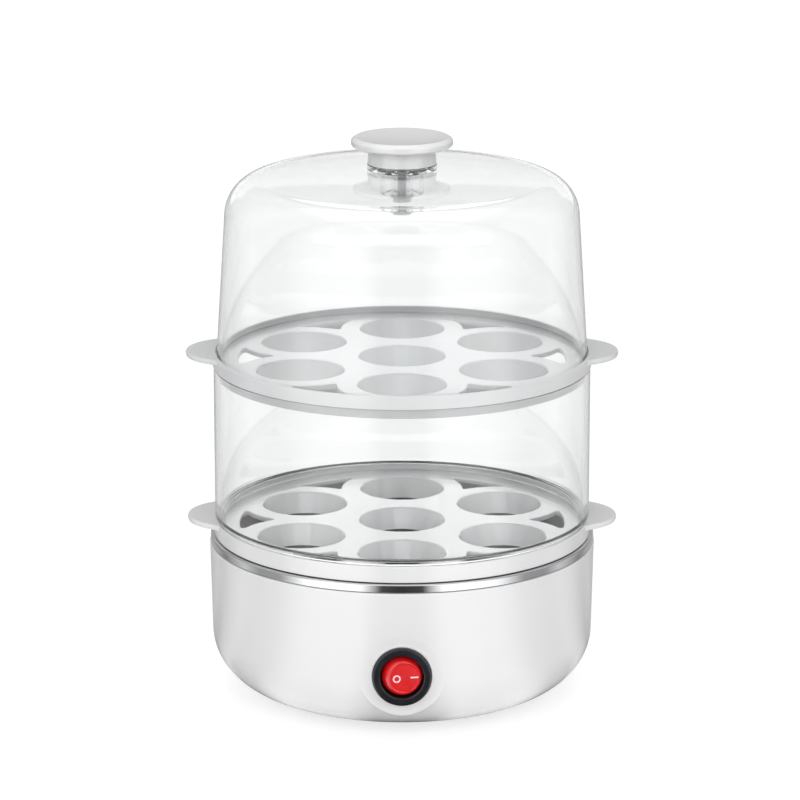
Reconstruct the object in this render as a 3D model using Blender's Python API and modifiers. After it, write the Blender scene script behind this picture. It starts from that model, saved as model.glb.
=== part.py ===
"""Two-tier electric egg cooker in metres, +Z up, standing on z = 0 on its axis, with its switch towards -Y.

The driving sizes come first, by piece. Levels and radii that follow from them are worked out next, from the
feet upwards, and each piece then has its own function.
"""

import math

import bmesh
import bpy
from mathutils import Matrix, Quaternion, Vector

# Facets
BIG_SIDES = 32
MEDIUM_SIDES = 20
SEAT_SIDES = 14
HIDDEN_SIDES = 12
SMALL_SIDES = 8
HEX_SIDES = 6
SMOOTH_ANGLE = math.radians(32)
FLAT_ANGLE = math.radians(0.5)
MERGE_DISTANCE = 0.00001

# Clearances and one overrun for every cut
SEAT_GAP = 0.0003
SLIP_GAP = 0.0003
HOLE_GAP = 0.0003
OVERRUN = 0.002

# Base shell, a bowl with a rounded lower corner
BODY_RADIUS = 0.0774
SHELL_HEIGHT = 0.0600
SHELL_DRAFT = 0.0008
SHELL_WALL = 0.0024
SHELL_CORNER_WIDTH = 0.0267
SHELL_CORNER_HEIGHT = 0.0238
SHELL_OPENING_RADIUS = 0.0480
LEDGE_THICKNESS = 0.0022

# Round pad that carries the switch, and the small one that carries the cord gland
SWITCH_PLACE_SHARE = 0.4515
SWITCH_PAD_RADIUS = 0.0175
SWITCH_PAD_RISE = 0.0015
SWITCH_PAD_DEPTH = 0.0092
PAD_EDGE_ROUND = 0.0014
PANEL_THICKNESS = 0.0022
GLAND_PLACE_SHARE = 0.36
GLAND_PAD_RADIUS = 0.0085
GLAND_PAD_RISE = 0.0008
GLAND_PAD_DEPTH = 0.0050

# Bottom cover, its vent slots and its feet
COVER_THICKNESS = 0.0020
COVER_LAP = 0.0040
SLOT_RIM_WEB = 0.0080
SLOT_LENGTH = 0.0100
SLOT_WIDTH = 0.0024
SLOT_GROUP_ANGLES = (math.radians(0), math.radians(180))
SLOTS_A_GROUP = 4
SLOT_STEP_ANGLE = math.radians(9)
FOOT_HEIGHT = 0.0026
FOOT_RADIUS = 0.0068
FOOT_ROUND = 0.0009
FOOT_RIM_WEB = 0.0085
FOOT_ANGLES = tuple(math.radians(45 + 90 * turn) for turn in range(4))
FOOT_STEM_RADIUS = 0.0021
FOOT_BARB_RADIUS = 0.0031
FOOT_BARB_HEIGHT = 0.0018

# Heating pan, pressed from sheet, with a rolled bead on top of the shell
PAN_SHEET = 0.0008
PAN_DEPTH = 0.0144
PAN_CORNER_RADIUS = 0.0080
PAN_BEAD_HEIGHT = 0.0032
PAN_BEAD_INSET = 0.0003
PAN_BEAD_ROUND = 0.0017
PAN_LIP_ROUND = 0.0008
SEAL_WIDTH = 0.0010

# Cast diffuser under the pan and the sheathed element under that
DIFFUSER_RADIUS = 0.0460
DIFFUSER_THICKNESS = 0.0020
DIFFUSER_EDGE = 0.0006
DIFFUSER_BOSS_RADIUS = 0.0046
ELEMENT_RING_RADIUS = 0.0380
ELEMENT_TUBE_RADIUS = 0.0030
ELEMENT_GAP_ANGLE = math.radians(21)
ELEMENT_END_DROP = 0.0070
ELEMENT_BEAD_RADIUS = 0.0024
ELEMENT_BEAD_LENGTH = 0.0022
ELEMENT_PIN_RADIUS = 0.0011
ELEMENT_PIN_LENGTH = 0.0034

# Clamp plate, which holds the element and the thermostat up against the diffuser
CLAMP_RADIUS = 0.0470
CLAMP_SHEET = 0.0010
CLAMP_RIM = 0.0035
CLAMP_BEND_RADIUS = 0.0015

# Thermostat
STAT_CAP_RADIUS = 0.0080
STAT_FLANGE_RADIUS = 0.0096
STAT_FLANGE = 0.0008
STAT_BODY_RADIUS = 0.0072
STAT_BODY_HEIGHT = 0.0062
STAT_TAB_REACH = 0.0150
STAT_TAB_WIDTH = 0.0063
STAT_TAB_SHEET = 0.0008
STAT_TAB_RISE = 0.0008

# Thermal fuse in its sleeve, under a saddle clip
FUSE_RADIUS = 0.0022
FUSE_LENGTH = 0.0200
CLIP_SHEET = 0.0006
CLIP_WIDTH = 0.0050
CLIP_FOOT = 0.0024

# Tie posts, which draw the pan and the bottom cover together, and their screws
POST_CIRCLE_RADIUS = 0.0270
POST_ANGLES = tuple(math.radians(32 + 120 * turn) for turn in range(3))
POST_RADIUS = 0.0040
POST_PIN_RADIUS = 0.0021
POST_PIN_LENGTH = 0.0058
SCREW_RADIUS = 0.0015
SCREW_BITE = 0.0080
SCREW_HEAD_RADIUS = 0.0029
SCREW_HEAD_HEIGHT = 0.0016
SCREW_HEAD_ROUND = 0.0006

# Terminal block on the cover
BLOCK_POLES = 4
BLOCK_PITCH = 0.0064
BLOCK_DEPTH = 0.0130
BLOCK_HEIGHT = 0.0105
BLOCK_RIM_GAP = 0.0031
BLOCK_EDGE = 0.0006
BLOCK_WIRE_HOLE_RADIUS = 0.0016
BLOCK_WELL_RADIUS = 0.0019
BLOCK_WELL_DEPTH = 0.0034

# Wires
WIRE_RADIUS = 0.0010
WIRE_LEAD = 0.0028
WIRE_STEP = 0.0090
WIRE_BITE = 0.0030

# Cord gland
GLAND_BORE_RADIUS = 0.0032
GLAND_BARREL_RADIUS = 0.0048
GLAND_FLANGE_RADIUS = 0.0066
GLAND_FLANGE_HEIGHT = 0.0030
GLAND_NOSE_RADIUS = 0.0050
GLAND_COLLAR_RADIUS = 0.0058
GLAND_COLLAR_LENGTH = 0.0026

# Egg trays, alike but for the height of the rim
TRAY_INSET = 0.0018
TRAY_RIM_WALL = 0.0013
LOWER_RIM_HEIGHT = 0.0066
UPPER_RIM_HEIGHT = 0.0056
TRAY_RECESS = 0.0028
TRAY_FLOOR = 0.0018
TRAY_SKIRT_WALL = 0.0014
TRAY_SKIRT_DEPTH = 0.0038
RIM_EDGE_ROUND = 0.0005
SEAT_WEB = 0.0088
SEAT_EDGE_WEB = 0.0071
COLLAR_WALL = 0.0016
COLLAR_DEPTH = 0.0082
COLLAR_TAPER = 0.0030
SEAT_FLARE = 0.0011
VENT_RIM_WEB = 0.0064
VENT_SEAT_WEB = 0.0083
VENT_CORNER_ROUND = 0.0010
EAR_REACH = 0.0107
EAR_DROP = 0.0002
EAR_TIP_RADIUS = 0.0190
EAR_FILLET_RADIUS = 0.0140
EAR_THICKNESS = 0.0023
EAR_EDGE_ROUND = 0.0006
SEAT_COUNT = 6

# Clear middle ring
RING_INSET = 0.0004
RING_WALL = 0.0018
RING_HEIGHT = 0.0646
RING_NECK_ROUND = 0.0013
FOOT_TURN_ROUND = 0.0010

# Clear dome lid
DOME_HEIGHT = 0.0727
DOME_DRAFT = 0.0037
DOME_CORNER_RADIUS = 0.0154
DOME_CORNER_SWEEP = math.radians(84)
DOME_CROWN_RISE = 0.0032
DOME_CROWN_POWER = 2.6
DOME_WALL = 0.0018
KNOB_PAD_RADIUS = 0.0138
KNOB_PAD_RISE = 0.0021
KNOB_POST_RADIUS = 0.0085
KNOB_POST_DROP = 0.0090
KNOB_POST_WALL = 0.0015
KNOB_POST_CORE_RADIUS = 0.0042

# Knob, its washer and its screw
KNOB_NECK_HEIGHT = 0.0061
KNOB_NECK_INSET = 0.0002
KNOB_DISC_RADIUS = 0.0201
KNOB_DISC_HEIGHT = 0.0042
KNOB_EDGE_ROUND = 0.0017
KNOB_DISH = 0.0011
KNOB_BORE_RADIUS = 0.0020
KNOB_BORE_DEPTH = 0.0068
WASHER_RADIUS = 0.0048
WASHER_THICKNESS = 0.0008
KNOB_SCREW_RADIUS = 0.0017
KNOB_SCREW_BITE = 0.0060
KNOB_SCREW_HEAD_RADIUS = 0.0036
KNOB_SCREW_HEAD_HEIGHT = 0.0022

# Round rocker switch, measured from the face of its pad
BEZEL_RADIUS = 0.01175
BEZEL_THICKNESS = 0.0022
BEZEL_ROUND = 0.0010
SWITCH_BARREL_RADIUS = 0.00985
SWITCH_DEPTH = 0.0152
SWITCH_FLOOR = 0.0020
ROCKER_RADIUS = 0.00815
ROCKER_FACE_HEIGHT = 0.0050
ROCKER_SKIRT = 0.0026
ROCKER_WALL = 0.0013
ROCKER_BEAD_WIDTH = 0.0005
ROCKER_BEAD_RISE = 0.00025
PIVOT_SETBACK = 0.0046
ROCKER_GAP = 0.0003
ROCKER_PIN_RADIUS = 0.0010
ROCKER_PIN_REACH = 0.0012
ROCKER_TILT = math.radians(10)
SOCKET_RADIUS = 0.0026
SOCKET_LENGTH = 0.0078
PLUNGER_RADIUS = 0.0012
PLUNGER_REACH = 0.0076
PLUNGER_LENGTH = 0.0052
SPRING_WIRE_RADIUS = 0.00018
SPRING_TURNS = 4
SPRING_POINTS_A_TURN = 8
LAMP_RADIUS = 0.0014
LAMP_LENGTH = 0.0060
BAR_TILT = math.radians(7)
BAR_HALF_LENGTH = 0.0052
BAR_SHEET = 0.0006
BAR_WIDTH = 0.0036
BAR_NUB_RADIUS = 0.0005
BAR_TURN_UP = 0.0005
TERMINAL_SPACING = 0.0060
TERMINAL_SHEET = 0.0008
TERMINAL_WIDTH = 0.0048
TERMINAL_TAIL = 0.0078
CRADLE_HALF_WIDTH = 0.0015
CONTACT_FOOT = 0.0026
SNAP_WIDTH = 0.0040
SNAP_RISE = 0.0011
SNAP_LENGTH = 0.0042

# Levels, from the feet upwards
shell_bottom = FOOT_HEIGHT + SEAT_GAP
cover_top = shell_bottom + COVER_THICKNESS
ledge_bottom = cover_top + SEAT_GAP
ledge_top = ledge_bottom + LEDGE_THICKNESS
shell_top = shell_bottom + SHELL_HEIGHT
bead_bottom = shell_top + SEAT_GAP
bead_top = bead_bottom + PAN_BEAD_HEIGHT
pan_floor = bead_top - PAN_DEPTH
diffuser_top = pan_floor - PAN_SHEET - SEAT_GAP
diffuser_bottom = diffuser_top - DIFFUSER_THICKNESS
element_level = diffuser_bottom - SEAT_GAP - ELEMENT_TUBE_RADIUS
clamp_top = element_level - ELEMENT_TUBE_RADIUS - SEAT_GAP
clamp_bottom = clamp_top - CLAMP_SHEET
post_shoulder = clamp_bottom - SEAT_GAP
post_bottom = cover_top + SEAT_GAP
block_top = post_bottom + BLOCK_HEIGHT
stat_tab_level = clamp_top + SEAT_GAP - STAT_BODY_HEIGHT + STAT_TAB_RISE
fuse_level = clamp_bottom - SEAT_GAP - FUSE_RADIUS
switch_level = shell_bottom + SHELL_HEIGHT * SWITCH_PLACE_SHARE
gland_level = shell_bottom + SHELL_HEIGHT * GLAND_PLACE_SHARE
lower_tray_bottom = bead_top + SEAT_GAP
lower_rim_top = lower_tray_bottom + LOWER_RIM_HEIGHT
ring_bottom = lower_rim_top - TRAY_RECESS + SEAT_GAP
ring_top = ring_bottom + RING_HEIGHT
upper_tray_bottom = ring_top + SEAT_GAP
upper_rim_top = upper_tray_bottom + UPPER_RIM_HEIGHT
dome_bottom = upper_rim_top - TRAY_RECESS + SEAT_GAP
dome_shoulder = dome_bottom + DOME_HEIGHT
dome_crown = (
    dome_shoulder
    - DOME_CORNER_RADIUS * (1 - math.sin(DOME_CORNER_SWEEP))
    + DOME_CROWN_RISE
)
knob_pad_top = dome_crown + KNOB_PAD_RISE
knob_post_bottom = dome_crown - DOME_WALL - KNOB_POST_DROP
knob_bottom = knob_pad_top + SEAT_GAP

# Radii, from the body inwards
shell_corner_radius = BODY_RADIUS - SHELL_DRAFT
corner_centre_radius = shell_corner_radius - SHELL_CORNER_WIDTH
corner_level = shell_bottom + SHELL_CORNER_HEIGHT
cover_radius = SHELL_OPENING_RADIUS + COVER_LAP
recess_radius = cover_radius + SLIP_GAP
slot_circle_radius = cover_radius - SLOT_RIM_WEB - SLOT_LENGTH / 2
foot_circle_radius = cover_radius - FOOT_RIM_WEB
block_half_width = BLOCK_POLES * BLOCK_PITCH / 2
block_back = math.sqrt((SHELL_OPENING_RADIUS - BLOCK_RIM_GAP) ** 2 - block_half_width**2)
block_front = block_back - BLOCK_DEPTH
fuse_setback = (STAT_BODY_RADIUS + POST_CIRCLE_RADIUS - POST_RADIUS) / 2
tray_radius = BODY_RADIUS - TRAY_INSET
rim_inner_radius = tray_radius - TRAY_RIM_WALL
foot_radius = rim_inner_radius - SLIP_GAP
ring_radius = tray_radius - RING_INSET
skirt_radius = ring_radius - RING_WALL - SLIP_GAP
skirt_inner_radius = skirt_radius - TRAY_SKIRT_WALL
pan_mouth_radius = skirt_radius + SLIP_GAP
bead_radius = BODY_RADIUS - PAN_BEAD_INSET
collar_radius = (skirt_inner_radius - SEAT_WEB - SEAT_EDGE_WEB) / 3
seat_radius = collar_radius - COLLAR_WALL
seat_circle_radius = skirt_inner_radius - SEAT_EDGE_WEB - collar_radius
switch_pad_face = shell_corner_radius + SWITCH_PAD_RISE
gland_pad_face = shell_corner_radius + GLAND_PAD_RISE
stat_cap_height = 2 * ELEMENT_TUBE_RADIUS - STAT_FLANGE
element_bend_radius = ELEMENT_TUBE_RADIUS + SEAT_GAP

# Switch levels, out of the pad's face
bezel_top = SEAT_GAP + BEZEL_THICKNESS
pivot_level = bezel_top - PIVOT_SETBACK
rocker_bore_radius = ROCKER_RADIUS + ROCKER_GAP
switch_floor_level = SWITCH_FLOOR - SWITCH_DEPTH
bar_front = pivot_level - PLUNGER_REACH - SEAT_GAP
bar_rear = bar_front - BAR_SHEET
pin_hole_radius = ROCKER_PIN_RADIUS + HOLE_GAP
socket_bore_radius = PLUNGER_RADIUS + HOLE_GAP
rocker_ceiling = ROCKER_FACE_HEIGHT - ROCKER_WALL
socket_end = rocker_ceiling - ROCKER_WALL


def linear(hex_colour):
    """The linear RGBA of an sRGB colour such as "F2F2F0"."""
    shares = [int(hex_colour[place : place + 2], 16) / 255 for place in (0, 2, 4)]
    curved = [share / 12.92 if share <= 0.04045 else ((share + 0.055) / 1.055) ** 2.4 for share in shares]
    return (*curved, 1.0)


def material(name, hex_colour, roughness, metallic=0.0, transmission=0.0):
    made = bpy.data.materials.new(name)
    made.use_nodes = True
    shader = made.node_tree.nodes["Principled BSDF"]
    shader.inputs["Base Color"].default_value = linear(hex_colour)
    shader.inputs["Roughness"].default_value = roughness
    shader.inputs["Metallic"].default_value = metallic
    shader.inputs["Transmission Weight"].default_value = transmission
    return made


def smoothing_group():
    """A node group that shades a mesh smooth and keeps its edges over SMOOTH_ANGLE sharp."""
    group = bpy.data.node_groups.new("smooth_by_angle", "GeometryNodeTree")
    group.interface.new_socket("Geometry", in_out="INPUT", socket_type="NodeSocketGeometry")
    group.interface.new_socket("Geometry", in_out="OUTPUT", socket_type="NodeSocketGeometry")
    source = group.nodes.new("NodeGroupInput")
    result = group.nodes.new("NodeGroupOutput")
    angle = group.nodes.new("GeometryNodeInputMeshEdgeAngle")
    blunt = group.nodes.new("FunctionNodeCompare")
    blunt.operation = "LESS_THAN"
    blunt.inputs[1].default_value = SMOOTH_ANGLE
    faces = group.nodes.new("GeometryNodeSetShadeSmooth")
    faces.domain = "FACE"
    edges = group.nodes.new("GeometryNodeSetShadeSmooth")
    edges.domain = "EDGE"
    group.links.new(source.outputs[0], faces.inputs["Geometry"])
    group.links.new(faces.outputs[0], edges.inputs["Geometry"])
    group.links.new(angle.outputs[0], blunt.inputs[0])
    group.links.new(blunt.outputs[0], edges.inputs["Shade Smooth"])
    group.links.new(edges.outputs[0], result.inputs[0])
    return group


def new_collection(name):
    made = bpy.data.collections.new(name)
    bpy.context.scene.collection.children.link(made)
    return made


for old in list(bpy.data.objects):
    bpy.data.objects.remove(old, do_unlink=True)
PARTS = new_collection("egg_cooker")
CUTTERS = new_collection("cutters")
SMOOTHING = smoothing_group()

WHITE_PLASTIC = material("white_plastic", "F1F1F1", 0.22)
FROSTED_PLASTIC = material("frosted_plastic", "E4E5E6", 0.38, transmission=0.6)
CLEAR_PLASTIC = material("clear_plastic", "F6F8F9", 0.04, transmission=1.0)
STAINLESS = material("polished_stainless", "C9CBCE", 0.12, metallic=1.0)
CAST_ALUMINIUM = material("cast_aluminium", "A9ABAD", 0.5, metallic=1.0)
ZINC_STEEL = material("zinc_steel", "B4B6B8", 0.34, metallic=1.0)
SILICONE = material("white_silicone", "DADAD6", 0.6)
RUBBER = material("grey_rubber", "3A3B3D", 0.75)
CERAMIC = material("white_ceramic", "E6E2D8", 0.45)
BRASS = material("tinned_brass", "C8B878", 0.35, metallic=1.0)
SWITCH_BLACK = material("black_nylon", "17181B", 0.3)
ROCKER_RED = material("red_polycarbonate", "E2161C", 0.18, transmission=0.3)
LAMP_GLASS = material("lamp_glass", "FFB48A", 0.05, transmission=0.9)
SLEEVE = material("fuse_sleeve", "D9D2C0", 0.8)
LIVE_WIRE = material("brown_wire", "6A3A20", 0.45)
NEUTRAL_WIRE = material("blue_wire", "2450A0", 0.45)
EARTH_WIRE = material("green_wire", "4E9A3C", 0.45)


def put_in(obj, collection, parent=None):
    """Links an object to the parts by default, or to the cutters or one of their groups."""
    collection = collection or PARTS
    collection.objects.link(obj)
    obj.parent = parent
    if collection is not PARTS:
        obj.hide_render = True
        obj.display_type = "WIRE"
    return obj


def cutter_group(name):
    """A collection inside the cutters, for a pattern that one Boolean joins or cuts."""
    made = bpy.data.collections.new(name)
    CUTTERS.children.link(made)
    return made


def frame(name, location, turn=(0, 0, 0), parent=None):
    """An empty that carries the pieces made round it."""
    made = bpy.data.objects.new(name, None)
    made.empty_display_size = SWITCH_DEPTH
    made.location = location
    made.rotation_euler = turn
    return put_in(made, PARTS, parent)


def finish(obj, surface):
    obj.data.materials.append(surface)
    smoothing = obj.modifiers.new("smooth by angle", "NODES")
    smoothing.node_group = SMOOTHING
    return obj


def turned(name, profile, sides, loop=False, collection=None, parent=None):
    """A profile of (radius, height) points turned round Z. It runs outwards over the top and down its outer
    side. A loop closes on itself, and any other profile begins and ends on the axis or is a sheet."""
    mesh = bpy.data.meshes.new(name)
    edges = [(number, number + 1) for number in range(len(profile) - 1)]
    if loop:
        edges.append((len(profile) - 1, 0))
    mesh.from_pydata([(radius, 0, height) for radius, height in profile], edges, [])
    obj = put_in(bpy.data.objects.new(name, mesh), collection, parent)
    screw = obj.modifiers.new("turn", "SCREW")
    screw.steps = sides
    screw.render_steps = sides
    screw.use_merge_vertices = True
    screw.merge_threshold = MERGE_DISTANCE
    screw.use_smooth_shade = True
    return obj


def merge_flats(obj):
    """Turns each flat fan or band of facets into a few large faces, which later cuts cross more cleanly."""
    merge = obj.modifiers.new("merge flats", "DECIMATE")
    merge.decimate_type = "DISSOLVE"
    merge.angle_limit = FLAT_ANGLE
    return obj


def thicken(obj, thickness):
    """Gives a turned sheet its wall, on the side away from its show face."""
    solid = obj.modifiers.new("wall", "SOLIDIFY")
    solid.thickness = thickness
    solid.offset = -1
    solid.use_even_offset = True
    return obj


def combine(obj, operation, tool):
    """Joins a tool to the object or cuts it away. The tool is one object, or a collection of them."""
    boolean = obj.modifiers.new(operation.lower(), "BOOLEAN")
    boolean.operation = operation
    boolean.solver = "EXACT"
    if isinstance(tool, bpy.types.Collection):
        boolean.operand_type = "COLLECTION"
        boolean.collection = tool
    else:
        boolean.object = tool
    return obj


def join(obj, tool):
    return combine(obj, "UNION", tool)


def cut(obj, tool):
    return combine(obj, "DIFFERENCE", tool)


def rod(name, radius, low, high, sides, collection=None, parent=None):
    """A plain cylinder on Z."""
    mesh = bpy.data.meshes.new(name)
    shape = bmesh.new()
    middle = Matrix.LocRotScale(Vector((0, 0, (low + high) / 2)), Quaternion((0, 0, 1), -math.pi / 2), None)
    bmesh.ops.create_cone(
        shape, cap_ends=True, segments=sides, radius1=radius, radius2=radius, depth=high - low, matrix=middle
    )
    return solid_from(name, mesh, shape, collection, parent)


def box(name, low, high, collection=None, parent=None):
    """A box between two corners, in its parent's axes."""
    low, high = Vector(low), Vector(high)
    mesh = bpy.data.meshes.new(name)
    shape = bmesh.new()
    bmesh.ops.create_cube(shape, size=1, matrix=Matrix.LocRotScale((low + high) / 2, None, high - low))
    return solid_from(name, mesh, shape, collection, parent)


def plate(name, outline, low, high, axes=Matrix(), collection=None, parent=None):
    """A flat outline made solid from low to high along its normal, then turned by the axes matrix."""
    mesh = bpy.data.meshes.new(name)
    shape = bmesh.new()
    base = shape.faces.new([shape.verts.new((across, along, low)) for across, along in outline])
    raised = bmesh.ops.extrude_face_region(shape, geom=[base])["geom"]
    corners = [item for item in raised if isinstance(item, bmesh.types.BMVert)]
    bmesh.ops.translate(shape, vec=(0, 0, high - low), verts=corners)
    bmesh.ops.transform(shape, matrix=axes, verts=shape.verts)
    return solid_from(name, mesh, shape, collection, parent)


def solid_from(name, mesh, shape, collection, parent):
    bmesh.ops.recalc_face_normals(shape, faces=shape.faces)
    shape.to_mesh(mesh)
    shape.free()
    return put_in(bpy.data.objects.new(name, mesh), collection, parent)


def round_edges(obj, width, segments=2, angle=math.radians(40)):
    bevel = obj.modifiers.new("round", "BEVEL")
    bevel.width = width
    bevel.segments = segments
    bevel.limit_method = "ANGLE"
    bevel.angle_limit = angle
    return obj


def tube(name, points, radius, parent=None, resolution=2):
    """A wire or tube through the points, with closed ends."""
    curve = bpy.data.curves.new(name, "CURVE")
    curve.dimensions = "3D"
    curve.bevel_depth = radius
    curve.bevel_resolution = resolution
    curve.use_fill_caps = True
    spline = curve.splines.new("POLY")
    spline.points.add(len(points) - 1)
    for point, where in zip(spline.points, points):
        point.co = (*where, 1)
    return put_in(bpy.data.objects.new(name, curve), PARTS, parent)


def arc(centre, radius, start, end, steps, squash=1.0):
    """Points round (radius, height) centre, from one angle to another. Squash scales the heights."""
    return [
        (
            centre[0] + radius * math.cos(start + (end - start) * step / steps),
            centre[1] + radius * squash * math.sin(start + (end - start) * step / steps),
        )
        for step in range(steps + 1)
    ]


def round_about(radius, angle, level=0.0):
    return Vector((radius * math.cos(angle), radius * math.sin(angle), level))


def smooth_route(points, step):
    """Points about a step apart on the smooth curve through the route's own points."""
    ends = [2 * points[0] - points[1], *points, 2 * points[-1] - points[-2]]
    route = [points[0]]
    for before, start, end, after in zip(ends, ends[1:], ends[2:], ends[3:]):
        count = max(1, round((end - start).length / step))
        for number in range(1, count + 1):
            share = number / count
            route.append(
                start
                + (end - before) * share / 2
                + (2 * before - 5 * start + 4 * end - after) * share**2 / 2
                + (3 * (start - end) + after - before) * share**3 / 2
            )
    return route


def make_base_shell():
    """The bowl: a drafted side, an elliptical corner, a recess for the cover and two pads."""
    squash = SHELL_CORNER_HEIGHT / SHELL_CORNER_WIDTH
    inner_width = SHELL_CORNER_WIDTH - SHELL_WALL
    inner_height = SHELL_CORNER_HEIGHT - SHELL_WALL
    outer_end = math.acos(min(1, (recess_radius - corner_centre_radius) / SHELL_CORNER_WIDTH))
    inner_end = math.asin(min(1, (corner_level - ledge_top) / inner_height))
    profile = [
        (BODY_RADIUS, shell_top),
        *arc((corner_centre_radius, corner_level), SHELL_CORNER_WIDTH, 0, -outer_end, 5, squash),
        (recess_radius, ledge_bottom),
        (SHELL_OPENING_RADIUS, ledge_bottom),
        (SHELL_OPENING_RADIUS, ledge_top),
        *arc((corner_centre_radius, corner_level), inner_width, -inner_end, 0, 3, inner_height / inner_width),
        (BODY_RADIUS - SHELL_WALL, shell_top),
    ]
    shell = turned("base_shell", profile, BIG_SIDES, loop=True)
    bore = SWITCH_BARREL_RADIUS + HOLE_GAP
    add_pad(shell, SWITCH_FRAME, SWITCH_PAD_RADIUS, SWITCH_PAD_DEPTH, bore, "switch_pad")
    bore = GLAND_BARREL_RADIUS + HOLE_GAP
    add_pad(shell, GLAND_FRAME, GLAND_PAD_RADIUS, GLAND_PAD_DEPTH, bore, "gland_pad")
    return finish(shell, WHITE_PLASTIC)


def add_pad(shell, carrier, radius, depth, bore_radius, name):
    """A round pad with a rounded edge that stands out of the shell, hollow behind its panel, with a hole."""
    pad_profile = [
        (0, 0),
        *arc((radius - PAD_EDGE_ROUND, -PAD_EDGE_ROUND), PAD_EDGE_ROUND, math.pi / 2, 0, 3),
        (radius, -depth),
        (0, -depth),
    ]
    pad = merge_flats(turned(name, pad_profile, MEDIUM_SIDES, False, CUTTERS, carrier))
    join(shell, pad)
    pocket_end = corner_centre_radius - switch_pad_face
    pocket_radius = radius - SHELL_WALL
    span = (pocket_end, -PANEL_THICKNESS)
    cut(shell, rod(name + "_pocket", pocket_radius, *span, MEDIUM_SIDES, CUTTERS, carrier))
    cut(shell, rod(name + "_hole", bore_radius, -depth, OVERRUN, MEDIUM_SIDES, CUTTERS, carrier))


def make_bottom_cover():
    profile = [(0, cover_top), (cover_radius, cover_top), (cover_radius, shell_bottom), (0, shell_bottom)]
    cover = merge_flats(turned("bottom_cover", profile, BIG_SIDES))
    low, high = shell_bottom - OVERRUN, cover_top + OVERRUN
    openings = cutter_group("cover_openings")
    end_radius = SLOT_WIDTH / 2
    straight = SLOT_LENGTH / 2 - end_radius
    outline = [
        *arc((slot_circle_radius + straight, 0), end_radius, -math.pi / 2, math.pi / 2, 3),
        *arc((slot_circle_radius - straight, 0), end_radius, math.pi / 2, 3 * math.pi / 2, 3),
    ]
    for group_angle in SLOT_GROUP_ANGLES:
        for number in range(SLOTS_A_GROUP):
            place = number - (SLOTS_A_GROUP - 1) / 2
            turn = Matrix.Rotation(group_angle + place * SLOT_STEP_ANGLE, 4, "Z")
            plate("cover_slot", outline, low, high, turn, openings)
    for angle in POST_ANGLES:
        hole = rod("screw_hole", SCREW_RADIUS + HOLE_GAP, low, high, SMALL_SIDES, openings)
        hole.location = round_about(POST_CIRCLE_RADIUS, angle)
    for angle in FOOT_ANGLES:
        hole = rod("foot_hole", FOOT_STEM_RADIUS + HOLE_GAP, low, high, SMALL_SIDES, openings)
        hole.location = round_about(foot_circle_radius, angle)
    cut(cover, openings)
    return finish(cover, WHITE_PLASTIC)


def make_feet():
    for number, angle in enumerate(FOOT_ANGLES, 1):
        barb = cover_top + SEAT_GAP
        profile = [
            (0, barb + FOOT_BARB_HEIGHT),
            (FOOT_STEM_RADIUS, barb + FOOT_BARB_HEIGHT),
            (FOOT_BARB_RADIUS, barb),
            (FOOT_STEM_RADIUS, barb),
            (FOOT_STEM_RADIUS, FOOT_HEIGHT),
            (FOOT_RADIUS, FOOT_HEIGHT),
            *arc((FOOT_RADIUS - FOOT_ROUND, FOOT_ROUND), FOOT_ROUND, 0, -math.pi / 2, 1),
            (0, 0),
        ]
        foot = turned(f"rubber_foot_{number}", profile, SMALL_SIDES)
        foot.location = round_about(foot_circle_radius, angle)
        finish(foot, RUBBER)


def make_tie_posts():
    for number, angle in enumerate(POST_ANGLES, 1):
        profile = [
            (0, post_shoulder + POST_PIN_LENGTH),
            (POST_PIN_RADIUS, post_shoulder + POST_PIN_LENGTH),
            (POST_PIN_RADIUS, post_shoulder),
            (POST_RADIUS, post_shoulder),
            (POST_RADIUS, post_bottom),
            (SCREW_RADIUS + HOLE_GAP, post_bottom),
            (SCREW_RADIUS + HOLE_GAP, post_bottom + SCREW_BITE + HOLE_GAP),
            (0, post_bottom + SCREW_BITE + HOLE_GAP),
        ]
        post = turned(f"tie_post_{number}", profile, HEX_SIDES)
        post.location = round_about(POST_CIRCLE_RADIUS, angle)
        post.rotation_euler.z = angle
        finish(post, ZINC_STEEL)
        head_top = shell_bottom - SEAT_GAP
        head_bottom = head_top - SCREW_HEAD_HEIGHT
        screw_profile = [
            (0, post_bottom + SCREW_BITE),
            (SCREW_RADIUS, post_bottom + SCREW_BITE),
            (SCREW_RADIUS, head_top),
            (SCREW_HEAD_RADIUS, head_top),
            (SCREW_HEAD_RADIUS, head_bottom + SCREW_HEAD_ROUND),
            (SCREW_HEAD_RADIUS - SCREW_HEAD_ROUND, head_bottom),
            (0, head_bottom),
        ]
        screw = turned(f"cover_screw_{number}", screw_profile, HEX_SIDES)
        screw.location = round_about(POST_CIRCLE_RADIUS, angle)
        screw.rotation_euler.z = angle
        finish(screw, ZINC_STEEL)


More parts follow.
